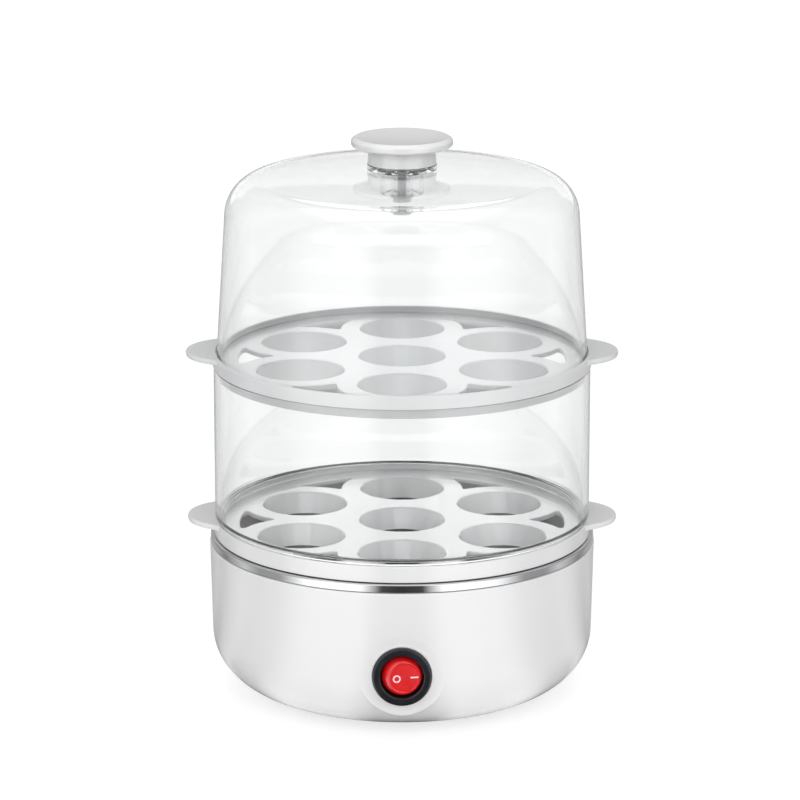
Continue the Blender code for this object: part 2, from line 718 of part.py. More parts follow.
def make_pan():
    """Pressed sheet: flat floor, round corner, upright wall and a rolled bead that caps the shell."""
    bead_inner = pan_mouth_radius + PAN_LIP_ROUND
    profile = [
        (0, pan_floor),
        *arc((pan_mouth_radius - PAN_CORNER_RADIUS, pan_floor + PAN_CORNER_RADIUS), PAN_CORNER_RADIUS,
             -math.pi / 2, 0, 2),
        (pan_mouth_radius, bead_top - PAN_LIP_ROUND),
        (bead_inner, bead_top),
        *arc((bead_radius - PAN_BEAD_ROUND, bead_top - PAN_BEAD_ROUND), PAN_BEAD_ROUND, math.pi / 2, 0, 2),
        (bead_radius, bead_bottom),
    ]
    pan = thicken(turned("heating_pan", profile, BIG_SIDES), PAN_SHEET)
    finish(pan, STAINLESS)
    seal_top = bead_top - PAN_SHEET - PAN_LIP_ROUND
    seal_inner = pan_mouth_radius + PAN_SHEET + 2 * SLIP_GAP
    profile = [
        (seal_inner, seal_top),
        (seal_inner + SEAL_WIDTH, seal_top),
        (seal_inner + SEAL_WIDTH, bead_bottom),
        (seal_inner, bead_bottom),
    ]
    finish(turned("pan_seal", profile, BIG_SIDES, loop=True), SILICONE)


def make_diffuser():
    profile = [
        (0, diffuser_top),
        (DIFFUSER_RADIUS - DIFFUSER_EDGE, diffuser_top),
        (DIFFUSER_RADIUS, diffuser_top - DIFFUSER_EDGE),
        (DIFFUSER_RADIUS, diffuser_bottom),
        (0, diffuser_bottom),
    ]
    diffuser = merge_flats(turned("heat_diffuser", profile, BIG_SIDES))
    boss_bottom = clamp_top + SEAT_GAP
    hole_top = post_shoulder + POST_PIN_LENGTH + HOLE_GAP
    bosses = cutter_group("diffuser_bosses")
    holes = cutter_group("diffuser_holes")
    for angle in POST_ANGLES:
        boss_top = diffuser_top - DIFFUSER_EDGE
        boss = rod("diffuser_boss", DIFFUSER_BOSS_RADIUS, boss_bottom, boss_top, HIDDEN_SIDES, bosses)
        boss.location = round_about(POST_CIRCLE_RADIUS, angle)
        hole = rod("boss_hole", POST_PIN_RADIUS + HOLE_GAP, clamp_bottom, hole_top, HEX_SIDES, holes)
        hole.location = round_about(POST_CIRCLE_RADIUS, angle)
        hole.rotation_euler.z = angle
    join(diffuser, bosses)
    cut(diffuser, holes)
    finish(diffuser, CAST_ALUMINIUM)


def element_end(side):
    """Where one of the element's two cold ends turns down, at the back of the ring."""
    return round_about(ELEMENT_RING_RADIUS, math.pi / 2 - side * ELEMENT_GAP_ANGLE / 2, element_level)


def make_element():
    """A C-shaped sheathed tube whose two ends turn down through the clamp plate to their terminals."""
    bend_angle = element_bend_radius / ELEMENT_RING_RADIUS
    start = math.pi / 2 + ELEMENT_GAP_ANGLE / 2 + bend_angle
    sweep = 2 * math.pi - ELEMENT_GAP_ANGLE - 2 * bend_angle
    ring_points = 18
    ring = [
        round_about(ELEMENT_RING_RADIUS, start + sweep * number / ring_points, element_level)
        for number in range(ring_points + 1)
    ]
    end_level = element_level - element_bend_radius - ELEMENT_END_DROP
    ends = []
    for side in (-1, 1):
        corner = element_end(side)
        inward = round_about(ELEMENT_RING_RADIUS, math.pi / 2 - side * (ELEMENT_GAP_ANGLE / 2 + bend_angle))
        along = (Vector((corner.x, corner.y, 0)) - Vector((inward.x, inward.y, 0))).normalized()
        bend = [
            corner - along * element_bend_radius * (1 - math.sin(turn))
            - Vector((0, 0, element_bend_radius * (1 - math.cos(turn))))
            for turn in (math.pi / 6, math.pi / 3, math.pi / 2)
        ]
        ends.append([*bend, Vector((corner.x, corner.y, end_level))])
    points = [*reversed(ends[0]), *ring, *ends[1]]
    element = tube("heater_element", points, ELEMENT_TUBE_RADIUS)
    element.data.materials.append(STAINLESS)
    for number, side in enumerate((-1, 1), 1):
        corner = element_end(side)
        bead_top_level = end_level - SEAT_GAP
        bead_bottom_level = bead_top_level - ELEMENT_BEAD_LENGTH
        profile = [
            (0, bead_top_level),
            (ELEMENT_BEAD_RADIUS, bead_top_level),
            (ELEMENT_BEAD_RADIUS, bead_bottom_level),
            (ELEMENT_PIN_RADIUS, bead_bottom_level),
            (ELEMENT_PIN_RADIUS, bead_bottom_level - ELEMENT_PIN_LENGTH),
            (0, bead_bottom_level - ELEMENT_PIN_LENGTH),
        ]
        terminal = turned(f"element_terminal_{number}", profile, SMALL_SIDES)
        terminal.location = (corner.x, corner.y, 0)
        finish(terminal, CERAMIC)
    return end_level


def make_clamp_plate():
    """A dished steel plate with a turned-down rim, bored for the posts, thermostat and element ends."""
    bend = CLAMP_BEND_RADIUS
    profile = [
        (0, clamp_top),
        *arc((CLAMP_RADIUS - bend, clamp_top - bend), bend, math.pi / 2, 0, 1),
        (CLAMP_RADIUS, clamp_top - CLAMP_RIM),
    ]
    clamp = merge_flats(thicken(turned("clamp_plate", profile, BIG_SIDES), CLAMP_SHEET))
    low, high = clamp_bottom - OVERRUN, clamp_top + OVERRUN
    holes = cutter_group("clamp_holes")
    rod("stat_hole", STAT_BODY_RADIUS + HOLE_GAP, low, high, HIDDEN_SIDES, holes)
    for angle in POST_ANGLES:
        hole = rod("post_hole", POST_PIN_RADIUS + HOLE_GAP, low, high, HEX_SIDES, holes)
        hole.location = round_about(POST_CIRCLE_RADIUS, angle)
        hole.rotation_euler.z = angle
    for side in (-1, 1):
        corner = element_end(side)
        hole = rod("element_hole", ELEMENT_TUBE_RADIUS + HOLE_GAP, low, high, HIDDEN_SIDES, holes)
        hole.location = (corner.x, corner.y, 0)
    cut(clamp, holes)
    finish(clamp, ZINC_STEEL)


def make_thermostat():
    flange_bottom = clamp_top + SEAT_GAP
    flange_top = flange_bottom + STAT_FLANGE
    profile = [
        (0, flange_top + stat_cap_height),
        (STAT_CAP_RADIUS, flange_top + stat_cap_height),
        (STAT_CAP_RADIUS, flange_top),
        (STAT_FLANGE_RADIUS, flange_top),
        (STAT_FLANGE_RADIUS, flange_bottom),
        (STAT_BODY_RADIUS, flange_bottom),
        (STAT_BODY_RADIUS, flange_bottom - STAT_BODY_HEIGHT),
        (0, flange_bottom - STAT_BODY_HEIGHT),
    ]
    thermostat = turned("thermostat", profile, HIDDEN_SIDES)
    tabs = box(
        "stat_tabs",
        (-STAT_TAB_REACH, -STAT_TAB_WIDTH / 2, stat_tab_level),
        (STAT_TAB_REACH, STAT_TAB_WIDTH / 2, stat_tab_level + STAT_TAB_SHEET),
        CUTTERS,
    )
    join(thermostat, tabs)
    finish(thermostat, CERAMIC)


def make_fuse():
    """The fuse lies in its sleeve along X under the clamp plate, with a saddle clip round it."""
    lie = Matrix.Translation((0, -fuse_setback, fuse_level)) @ Matrix.Rotation(math.pi / 2, 4, "Y")
    fuse = rod("thermal_fuse", FUSE_RADIUS, -FUSE_LENGTH / 2, FUSE_LENGTH / 2, SMALL_SIDES)
    fuse.matrix_world = lie
    finish(fuse, SLEEVE)
    inner = FUSE_RADIUS + HOLE_GAP
    outer = inner + CLIP_SHEET
    top = clamp_bottom - SEAT_GAP - fuse_level
    reach = outer + CLIP_FOOT
    outline = [
        (-inner, top),
        (-reach, top),
        (-reach, top - CLIP_SHEET),
        (-outer, top - CLIP_SHEET),
        *arc((0, 0), outer, math.pi, 2 * math.pi, 6),
        (outer, top - CLIP_SHEET),
        (reach, top - CLIP_SHEET),
        (reach, top),
        (inner, top),
        *arc((0, 0), inner, 2 * math.pi, math.pi, 6),
    ]
    axes = Matrix(((0, 0, 1, 0), (1, 0, 0, -fuse_setback), (0, 1, 0, fuse_level), (0, 0, 0, 1)))
    clip = plate("fuse_clip", outline, -CLIP_WIDTH / 2, CLIP_WIDTH / 2, axes)
    finish(clip, ZINC_STEEL)


def block_pole(number):
    """Where the wire hole of a pole opens, on the front of the terminal block."""
    across = (number - (BLOCK_POLES - 1) / 2) * BLOCK_PITCH
    return Vector((across, block_front, post_bottom + BLOCK_HEIGHT / 2))


def make_terminal_block():
    low = (-block_half_width, block_front, post_bottom)
    high = (block_half_width, block_back, block_top)
    block = box("terminal_block", low, high)
    round_edges(block, BLOCK_EDGE, 1)
    well_bottom = block_top - BLOCK_WELL_DEPTH
    holes = cutter_group("block_holes")
    wells = cutter_group("block_wells")
    for number in range(BLOCK_POLES):
        pole = block_pole(number)
        hole = rod("wire_hole", BLOCK_WIRE_HOLE_RADIUS, -OVERRUN, BLOCK_DEPTH + OVERRUN, SMALL_SIDES, holes)
        hole.location = pole
        hole.rotation_euler.x = -math.pi / 2
        well = rod("screw_well", BLOCK_WELL_RADIUS, well_bottom, block_top + OVERRUN, SMALL_SIDES, wells)
        well.location = (pole.x, (block_front + block_back) / 2, 0)
    cut(block, holes)
    cut(block, wells)
    finish(block, CERAMIC)


def make_gland():
    """A grommet bush with its flange and nose outside and its collar inside."""
    nose = SEAT_GAP + GLAND_FLANGE_HEIGHT
    inside = -PANEL_THICKNESS - SEAT_GAP
    profile = [
        (GLAND_BORE_RADIUS, nose),
        (GLAND_NOSE_RADIUS, nose),
        (GLAND_FLANGE_RADIUS, SEAT_GAP + GLAND_FLANGE_HEIGHT / 3),
        (GLAND_FLANGE_RADIUS, SEAT_GAP),
        (GLAND_BARREL_RADIUS, SEAT_GAP),
        (GLAND_BARREL_RADIUS, inside),
        (GLAND_COLLAR_RADIUS, inside),
        (GLAND_BARREL_RADIUS, inside - GLAND_COLLAR_LENGTH),
        (GLAND_BORE_RADIUS, inside - GLAND_COLLAR_LENGTH),
    ]
    finish(turned("cord_gland", profile, MEDIUM_SIDES, True, PARTS, GLAND_FRAME), RUBBER)


def seat_centres():
    yield Vector((0, 0, 0))
    for number in range(SEAT_COUNT):
        yield round_about(seat_circle_radius, math.pi / 2 + 2 * math.pi * number / SEAT_COUNT)


def vent_outline():
    """A curved triangle: one side follows the rim, the other two follow the seats beside it."""
    outer = skirt_inner_radius - VENT_RIM_WEB
    reach = seat_radius + VENT_SEAT_WEB
    seat = round_about(seat_circle_radius, math.pi / SEAT_COUNT)
    spread = math.atan2(seat.y, seat.x)
    cosine = (outer**2 + seat_circle_radius**2 - reach**2) / (2 * outer * seat_circle_radius)
    half_angle = spread - math.acos(max(-1, min(1, cosine)))
    corner = round_about(outer, half_angle)
    tip = Vector((seat.x + math.sqrt(max(0, reach**2 - seat.y**2)), 0, 0))
    start = math.atan2(tip.y - seat.y, tip.x - seat.x)
    end = math.atan2(corner.y - seat.y, corner.x - seat.x)
    side = arc((seat.x, seat.y), reach, start, end, 4)
    rim = arc((0, 0), outer, half_angle, -half_angle, 3)
    mirrored = [(across, -along) for across, along in reversed(side)]
    return [*side[:-1], *rim[:-1], *mirrored[:-1]]


def ear_outline():
    """An ear from the middle of the rim's wall over its fillet to the tip, and back on the other side."""
    tip_centre = tray_radius + EAR_REACH - EAR_TIP_RADIUS
    to_fillet = rim_inner_radius + TRAY_RIM_WALL / 2 + EAR_FILLET_RADIUS
    between = EAR_TIP_RADIUS + EAR_FILLET_RADIUS
    across = (to_fillet**2 - between**2 + tip_centre**2) / (2 * tip_centre)
    along = math.sqrt(max(0, to_fillet**2 - across**2))
    root_angle = math.atan2(along, across)
    meet_angle = math.atan2(along, across - tip_centre)
    fillet = arc((across, along), EAR_FILLET_RADIUS, root_angle + math.pi, meet_angle + math.pi, 4)
    tip = arc((tip_centre, 0), EAR_TIP_RADIUS, meet_angle, 0, 4)
    half = [*fillet, *tip[1:]]
    mirrored = [(far, -side) for far, side in reversed(half[:-1])]
    return half + mirrored


def make_tray(name, bottom, rim_height, surface):
    """A rim with a recessed floor, a locating skirt, seven egg seats with collars, six vents and two ears."""
    top = bottom + rim_height
    floor_top = top - TRAY_RECESS
    floor_bottom = floor_top - TRAY_FLOOR
    edge = RIM_EDGE_ROUND
    profile = [
        (0, top),
        (tray_radius - edge, top),
        (tray_radius, top - edge),
        (tray_radius, bottom + edge),
        (tray_radius - edge, bottom),
        (skirt_radius, bottom),
        (skirt_radius, bottom - TRAY_SKIRT_DEPTH),
        (skirt_inner_radius, bottom - TRAY_SKIRT_DEPTH),
        (skirt_inner_radius, floor_bottom),
        (0, floor_bottom),
    ]
    tray = merge_flats(turned(name, profile, BIG_SIDES))
    collars = cutter_group(name + "_collars")
    bores = cutter_group(name + "_bores")
    vents = cutter_group(name + "_vents")
    ears = cutter_group(name + "_ears")
    low = floor_top - COLLAR_DEPTH
    collar_profile = [
        (0, floor_top - TRAY_FLOOR / 3),
        (collar_radius, floor_top - TRAY_FLOOR / 3),
        (collar_radius - COLLAR_TAPER, low),
        (0, low),
    ]
    bore_profile = [
        (0, floor_top + OVERRUN),
        (seat_radius + SEAT_FLARE, floor_top + OVERRUN),
        (seat_radius + SEAT_FLARE, floor_top),
        (seat_radius, floor_top - SEAT_FLARE),
        (seat_radius - COLLAR_TAPER, low),
        (seat_radius - COLLAR_TAPER, low - OVERRUN),
        (0, low - OVERRUN),
    ]
    for centre in seat_centres():
        for group, shape in ((collars, collar_profile), (bores, bore_profile)):
            tool = merge_flats(turned(name + "_seat", shape, SEAT_SIDES, False, group))
            tool.location = centre
    for number in range(SEAT_COUNT):
        turn = Matrix.Rotation(2 * math.pi * number / SEAT_COUNT, 4, "Z")
        plate(name + "_vent", vent_outline(), floor_bottom - OVERRUN, floor_top + OVERRUN, turn, vents)
    ear_top = top - EAR_DROP
    for turn in (0, math.pi):
        axes = Matrix.Rotation(turn, 4, "Z")
        ear = plate(name + "_ear", ear_outline(), ear_top - EAR_THICKNESS, ear_top, axes, ears)
        round_edges(ear, EAR_EDGE_ROUND, 1, math.radians(60))
    join(tray, collars)
    join(tray, ears)
    cut(tray, rod(name + "_recess", rim_inner_radius, floor_top, top + OVERRUN, BIG_SIDES, CUTTERS))
    cut(tray, bores)
    cut(tray, vents)
    finish(tray, surface)


def make_middle_ring():
    """A clear wall whose foot is drawn in, to stand inside the rim of the tray below."""
    neck = lower_rim_top + SEAT_GAP
    profile = [
        (ring_radius, ring_top),
        (ring_radius, neck + RING_NECK_ROUND),
        (foot_radius, neck),
        (foot_radius, ring_bottom + FOOT_TURN_ROUND),
        (foot_radius - FOOT_TURN_ROUND, ring_bottom),
    ]
    finish(thicken(turned("middle_ring", profile, BIG_SIDES), RING_WALL), CLEAR_PLASTIC)


def make_dome():
    """A clear dome with a raised pad on its crown for the knob and a hollow screw post under it."""
    shoulder_radius = foot_radius - DOME_DRAFT
    centre = (shoulder_radius - DOME_CORNER_RADIUS, dome_shoulder - DOME_CORNER_RADIUS)
    corner = arc(centre, DOME_CORNER_RADIUS, DOME_CORNER_SWEEP, 0, 4)
    crown_steps = 3
    reach, start = corner[0]
    crown = []
    for step in range(crown_steps):
        share = step / crown_steps
        rise = DOME_CROWN_RISE * (1 - share**DOME_CROWN_POWER)
        crown.append((reach * share, start + rise))
    profile = [*crown, *corner, (foot_radius, dome_bottom)]
    dome = merge_flats(thicken(turned("lid_dome", profile, BIG_SIDES), DOME_WALL))
    inside = dome_crown - DOME_WALL
    edge = RIM_EDGE_ROUND
    post_profile = [
        (0, knob_pad_top),
        (KNOB_PAD_RADIUS - edge, knob_pad_top),
        (KNOB_PAD_RADIUS, knob_pad_top - edge),
        (KNOB_PAD_RADIUS, dome_crown - DOME_WALL / 2),
        (KNOB_POST_RADIUS, inside),
        (KNOB_POST_RADIUS, knob_post_bottom),
        (0, knob_post_bottom),
    ]
    join(dome, merge_flats(turned("knob_post", post_profile, MEDIUM_SIDES, False, CUTTERS)))
    groove = [
        (KNOB_POST_CORE_RADIUS, inside),
        (KNOB_POST_RADIUS - KNOB_POST_WALL, inside),
        (KNOB_POST_RADIUS - KNOB_POST_WALL, knob_post_bottom - OVERRUN),
        (KNOB_POST_CORE_RADIUS, knob_post_bottom - OVERRUN),
    ]
    cut(dome, turned("post_groove", groove, MEDIUM_SIDES, True, CUTTERS))
    bore = KNOB_SCREW_RADIUS + HOLE_GAP
    span = (knob_post_bottom - OVERRUN, knob_pad_top + OVERRUN)
    cut(dome, rod("post_bore", bore, *span, SMALL_SIDES, CUTTERS))
    finish(dome, CLEAR_PLASTIC)


def make_knob():
    neck_radius = KNOB_PAD_RADIUS - KNOB_NECK_INSET
    disc_bottom = knob_bottom + KNOB_NECK_HEIGHT
    top = disc_bottom + KNOB_DISC_HEIGHT
    edge = KNOB_EDGE_ROUND
    under = KNOB_DISC_RADIUS - edge
    profile = [
        (0, top - KNOB_DISH),
        ((under - edge) / 2, top - KNOB_DISH * 3 / 4),
        (under - edge / 2, top),
        *arc((under, disc_bottom + KNOB_DISC_HEIGHT / 2), edge, math.pi / 3, -math.pi / 2, 4),
        (neck_radius, disc_bottom),
        (neck_radius, knob_bottom),
        (KNOB_BORE_RADIUS, knob_bottom),
        (KNOB_BORE_RADIUS, knob_bottom + KNOB_BORE_DEPTH),
        (0, knob_bottom + KNOB_BORE_DEPTH),
    ]
    finish(turned("lid_knob", profile, MEDIUM_SIDES), WHITE_PLASTIC)
    washer_top = knob_post_bottom - SEAT_GAP
    washer_bottom = washer_top - WASHER_THICKNESS
    bore = KNOB_SCREW_RADIUS + HOLE_GAP
    profile = [
        (bore, washer_top),
        (WASHER_RADIUS, washer_top),
        (WASHER_RADIUS, washer_bottom),
        (bore, washer_bottom),
    ]
    finish(turned("knob_washer", profile, MEDIUM_SIDES, loop=True), SILICONE)
    head_top = washer_bottom - SEAT_GAP
    head_bottom = head_top - KNOB_SCREW_HEAD_HEIGHT
    profile = [
        (0, knob_bottom + KNOB_SCREW_BITE),
        (KNOB_SCREW_RADIUS, knob_bottom + KNOB_SCREW_BITE),
        (KNOB_SCREW_RADIUS, head_top),
        (KNOB_SCREW_HEAD_RADIUS, head_top),
        (KNOB_SCREW_HEAD_RADIUS, head_bottom + SCREW_HEAD_ROUND),
        (KNOB_SCREW_HEAD_RADIUS - SCREW_HEAD_ROUND, head_bottom),
        (0, head_bottom),
    ]
    finish(turned("knob_screw", profile, SMALL_SIDES), ZINC_STEEL)


def make_switch_body():
    """Bezel, barrel and floor in one moulding, with pin holes, terminal slots and two snap wedges."""
    profile = [
        (rocker_bore_radius, bezel_top - BEZEL_ROUND / 2),
        (rocker_bore_radius + BEZEL_ROUND / 2, bezel_top),
        *arc((BEZEL_RADIUS - BEZEL_ROUND, bezel_top - BEZEL_ROUND), BEZEL_ROUND, math.pi / 2, 0, 2),
        (BEZEL_RADIUS, SEAT_GAP),
        (SWITCH_BARREL_RADIUS, SEAT_GAP),
        (SWITCH_BARREL_RADIUS, -SWITCH_DEPTH),
        (0, -SWITCH_DEPTH),
    ]
    inner = [(0, switch_floor_level), (rocker_bore_radius, switch_floor_level)]
    body = merge_flats(turned("switch_body", inner + profile, MEDIUM_SIDES, False, PARTS, SWITCH_FRAME))
    snap_top = -PANEL_THICKNESS - SEAT_GAP
    wedge = [
        (SWITCH_BARREL_RADIUS - SNAP_RISE, snap_top),
        (SWITCH_BARREL_RADIUS + SNAP_RISE, snap_top),
        (SWITCH_BARREL_RADIUS, snap_top - SNAP_LENGTH),
        (SWITCH_BARREL_RADIUS - SNAP_RISE, snap_top - SNAP_LENGTH),
    ]
    for side in (1, -1):
        axes = Matrix.Diagonal((side, 1, 1, 1)) @ Matrix.Rotation(math.pi / 2, 4, "X")
        snap = plate("snap_wedge", wedge, -SNAP_WIDTH / 2, SNAP_WIDTH / 2, axes, CUTTERS, SWITCH_FRAME)
        join(body, snap)
    span = (-BEZEL_RADIUS, BEZEL_RADIUS)
    pin_hole = rod("pin_hole", pin_hole_radius, *span, SMALL_SIDES, CUTTERS, SWITCH_FRAME)
    pin_hole.location.z = pivot_level
    pin_hole.rotation_euler.x = math.pi / 2
    cut(body, pin_hole)
    for place in (-1, 0, 1):
        across = place * TERMINAL_SPACING
        half_sheet = TERMINAL_SHEET / 2 + HOLE_GAP
        half_width = TERMINAL_WIDTH / 2 + HOLE_GAP
        slot = box(
            "terminal_slot",
            (across - half_sheet, -half_width, -SWITCH_DEPTH - OVERRUN),
            (across + half_sheet, half_width, switch_floor_level + OVERRUN / 2),
            CUTTERS,
            SWITCH_FRAME,
        )
        cut(body, slot)
    finish(body, SWITCH_BLACK)


def sphere_point(radius, level):
    return (math.sqrt(max(0, radius**2 - level**2)), level)


def make_rocker():
    """A ball-sided rocker that turns on two stub pins, hollow, with a socket for the plunger."""
    inner = ROCKER_RADIUS - ROCKER_WALL
    face_radius = sphere_point(ROCKER_RADIUS, ROCKER_FACE_HEIGHT)[0]
    bead = face_radius - ROCKER_BEAD_WIDTH
    levels = [ROCKER_FACE_HEIGHT - (ROCKER_FACE_HEIGHT + ROCKER_SKIRT) * step / 4 for step in range(5)]
    inner_levels = [(-ROCKER_SKIRT) + (rocker_ceiling + ROCKER_SKIRT) * step / 3 for step in range(4)]
    socket_low = rocker_ceiling - SOCKET_LENGTH
    profile = [
        (0, ROCKER_FACE_HEIGHT),
        (bead - ROCKER_BEAD_WIDTH, ROCKER_FACE_HEIGHT),
        (bead, ROCKER_FACE_HEIGHT + ROCKER_BEAD_RISE),
        *[sphere_point(ROCKER_RADIUS, level) for level in levels],
        *[sphere_point(inner, level) for level in inner_levels],
        (SOCKET_RADIUS, rocker_ceiling),
        (SOCKET_RADIUS, socket_low),
        (socket_bore_radius, socket_low),
        (socket_bore_radius, socket_end),
        (0, socket_end),
    ]
    rocker = merge_flats(turned("switch_rocker", profile, MEDIUM_SIDES, False, PARTS, ROCKER_PIVOT))
    for side in (1, -1):
        low = ROCKER_RADIUS - ROCKER_WALL / 2
        high = rocker_bore_radius + ROCKER_PIN_REACH - ROCKER_GAP
        pin = rod("rocker_pin", ROCKER_PIN_RADIUS, low, high, SMALL_SIDES, CUTTERS, ROCKER_PIVOT)
        pin.rotation_euler.x = -side * math.pi / 2
        join(rocker, pin)
    finish(rocker, ROCKER_RED)
    tip = PLUNGER_RADIUS / 2
    plunger_top = -PLUNGER_REACH + PLUNGER_LENGTH
    profile = [
        (0, plunger_top),
        (PLUNGER_RADIUS, plunger_top),
        (PLUNGER_RADIUS, -PLUNGER_REACH + tip),
        (tip, -PLUNGER_REACH),
        (0, -PLUNGER_REACH),
    ]
    finish(turned("switch_plunger", profile, SMALL_SIDES, False, PARTS, ROCKER_PIVOT), SWITCH_BLACK)
    spring_low = plunger_top + SEAT_GAP + SPRING_WIRE_RADIUS
    spring_high = socket_end - SEAT_GAP - SPRING_WIRE_RADIUS
    coil_radius = PLUNGER_RADIUS - SPRING_WIRE_RADIUS
    count = SPRING_TURNS * SPRING_POINTS_A_TURN
    points = [
        round_about(
            coil_radius,
            2 * math.pi * number / SPRING_POINTS_A_TURN,
            spring_low + (spring_high - spring_low) * number / count,
        )
        for number in range(count + 1)
    ]
    spring = tube("switch_spring", points, SPRING_WIRE_RADIUS, ROCKER_PIVOT, 1)
    spring.data.materials.append(ZINC_STEEL)
    lamp_across = SOCKET_RADIUS + HOLE_GAP + LAMP_RADIUS
    lamp_level = rocker_ceiling - SEAT_GAP - LAMP_RADIUS
    straight = LAMP_LENGTH / 2 - LAMP_RADIUS
    profile = [
        *arc((0, straight), LAMP_RADIUS, math.pi / 2, 0, 2),
        *arc((0, -straight), LAMP_RADIUS, 0, -math.pi / 2, 2),
    ]
    profile[0] = (0, LAMP_LENGTH / 2)
    profile[-1] = (0, -LAMP_LENGTH / 2)
    lamp = turned("neon_lamp", profile, SMALL_SIDES, False, PARTS, ROCKER_PIVOT)
    lamp.location = (lamp_across, 0, lamp_level)
    lamp.rotation_euler.x = math.pi / 2
    finish(lamp, LAMP_GLASS)


def make_contacts():
    """The seesaw bar on its cradle, and the three terminals that pass through the floor."""
    side_on = Matrix.Rotation(math.pi / 2, 4, "X")
    turn_up = BAR_TURN_UP
    bar_outline = [
        (-BAR_HALF_LENGTH, turn_up),
        (-BAR_HALF_LENGTH + 2 * turn_up, 0),
        *arc((0, 0), BAR_NUB_RADIUS, math.pi, 2 * math.pi, 4),
        (BAR_HALF_LENGTH - 2 * turn_up, 0),
        (BAR_HALF_LENGTH, turn_up),
        (BAR_HALF_LENGTH, turn_up + BAR_SHEET),
        (BAR_HALF_LENGTH - 2 * turn_up, BAR_SHEET),
        (-BAR_HALF_LENGTH + 2 * turn_up, BAR_SHEET),
        (-BAR_HALF_LENGTH, turn_up + BAR_SHEET),
    ]
    bar = plate("contact_bar", bar_outline, -BAR_WIDTH / 2, BAR_WIDTH / 2, side_on, PARTS, BAR_PIVOT)
    finish(bar, BRASS)
    half = TERMINAL_SHEET / 2
    width = TERMINAL_WIDTH / 2
    tail = -SWITCH_DEPTH - TERMINAL_TAIL
    notch = BAR_NUB_RADIUS + SEAT_GAP
    cradle_top = bar_rear - SEAT_GAP
    shelf = switch_floor_level + SEAT_GAP
    cradle = [
        (-CRADLE_HALF_WIDTH, cradle_top),
        (-CRADLE_HALF_WIDTH, shelf),
        (-half, shelf),
        (-half, tail),
        (half, tail),
        (half, shelf),
        (CRADLE_HALF_WIDTH, shelf),
        (CRADLE_HALF_WIDTH, cradle_top),
        *[(across, level + bar_rear) for across, level in notch_arc(notch, SEAT_GAP)],
    ]
    finish(plate("terminal_common", cradle, -width, width, side_on, PARTS, SWITCH_FRAME), BRASS)
    swing = (TERMINAL_SPACING - half) * math.sin(BAR_TILT)
    contact_top = bar_rear - swing - SEAT_GAP
    foot = [
        (-TERMINAL_SPACING - half, contact_top),
        (-TERMINAL_SPACING - half, tail),
        (-TERMINAL_SPACING + half, tail),
        (-TERMINAL_SPACING + half, contact_top - TERMINAL_SHEET),
        (-TERMINAL_SPACING + CONTACT_FOOT, contact_top - TERMINAL_SHEET),
        (-TERMINAL_SPACING + CONTACT_FOOT, contact_top),
    ]
    finish(plate("terminal_load", foot, -width, width, side_on, PARTS, SWITCH_FRAME), BRASS)
    blade = [
        (TERMINAL_SPACING - half, contact_top - TERMINAL_SHEET),
        (TERMINAL_SPACING - half, tail),
        (TERMINAL_SPACING + half, tail),
        (TERMINAL_SPACING + half, contact_top - TERMINAL_SHEET),
    ]
    finish(plate("terminal_lamp", blade, -width, width, side_on, PARTS, SWITCH_FRAME), BRASS)


def notch_arc(radius, depth):
    """The cradle's round notch, from right to left, where it opens a depth below the bar's rear face."""
    start = -math.asin(min(1, depth / radius))
    return arc((0, 0), radius, start, -math.pi - start, 4)


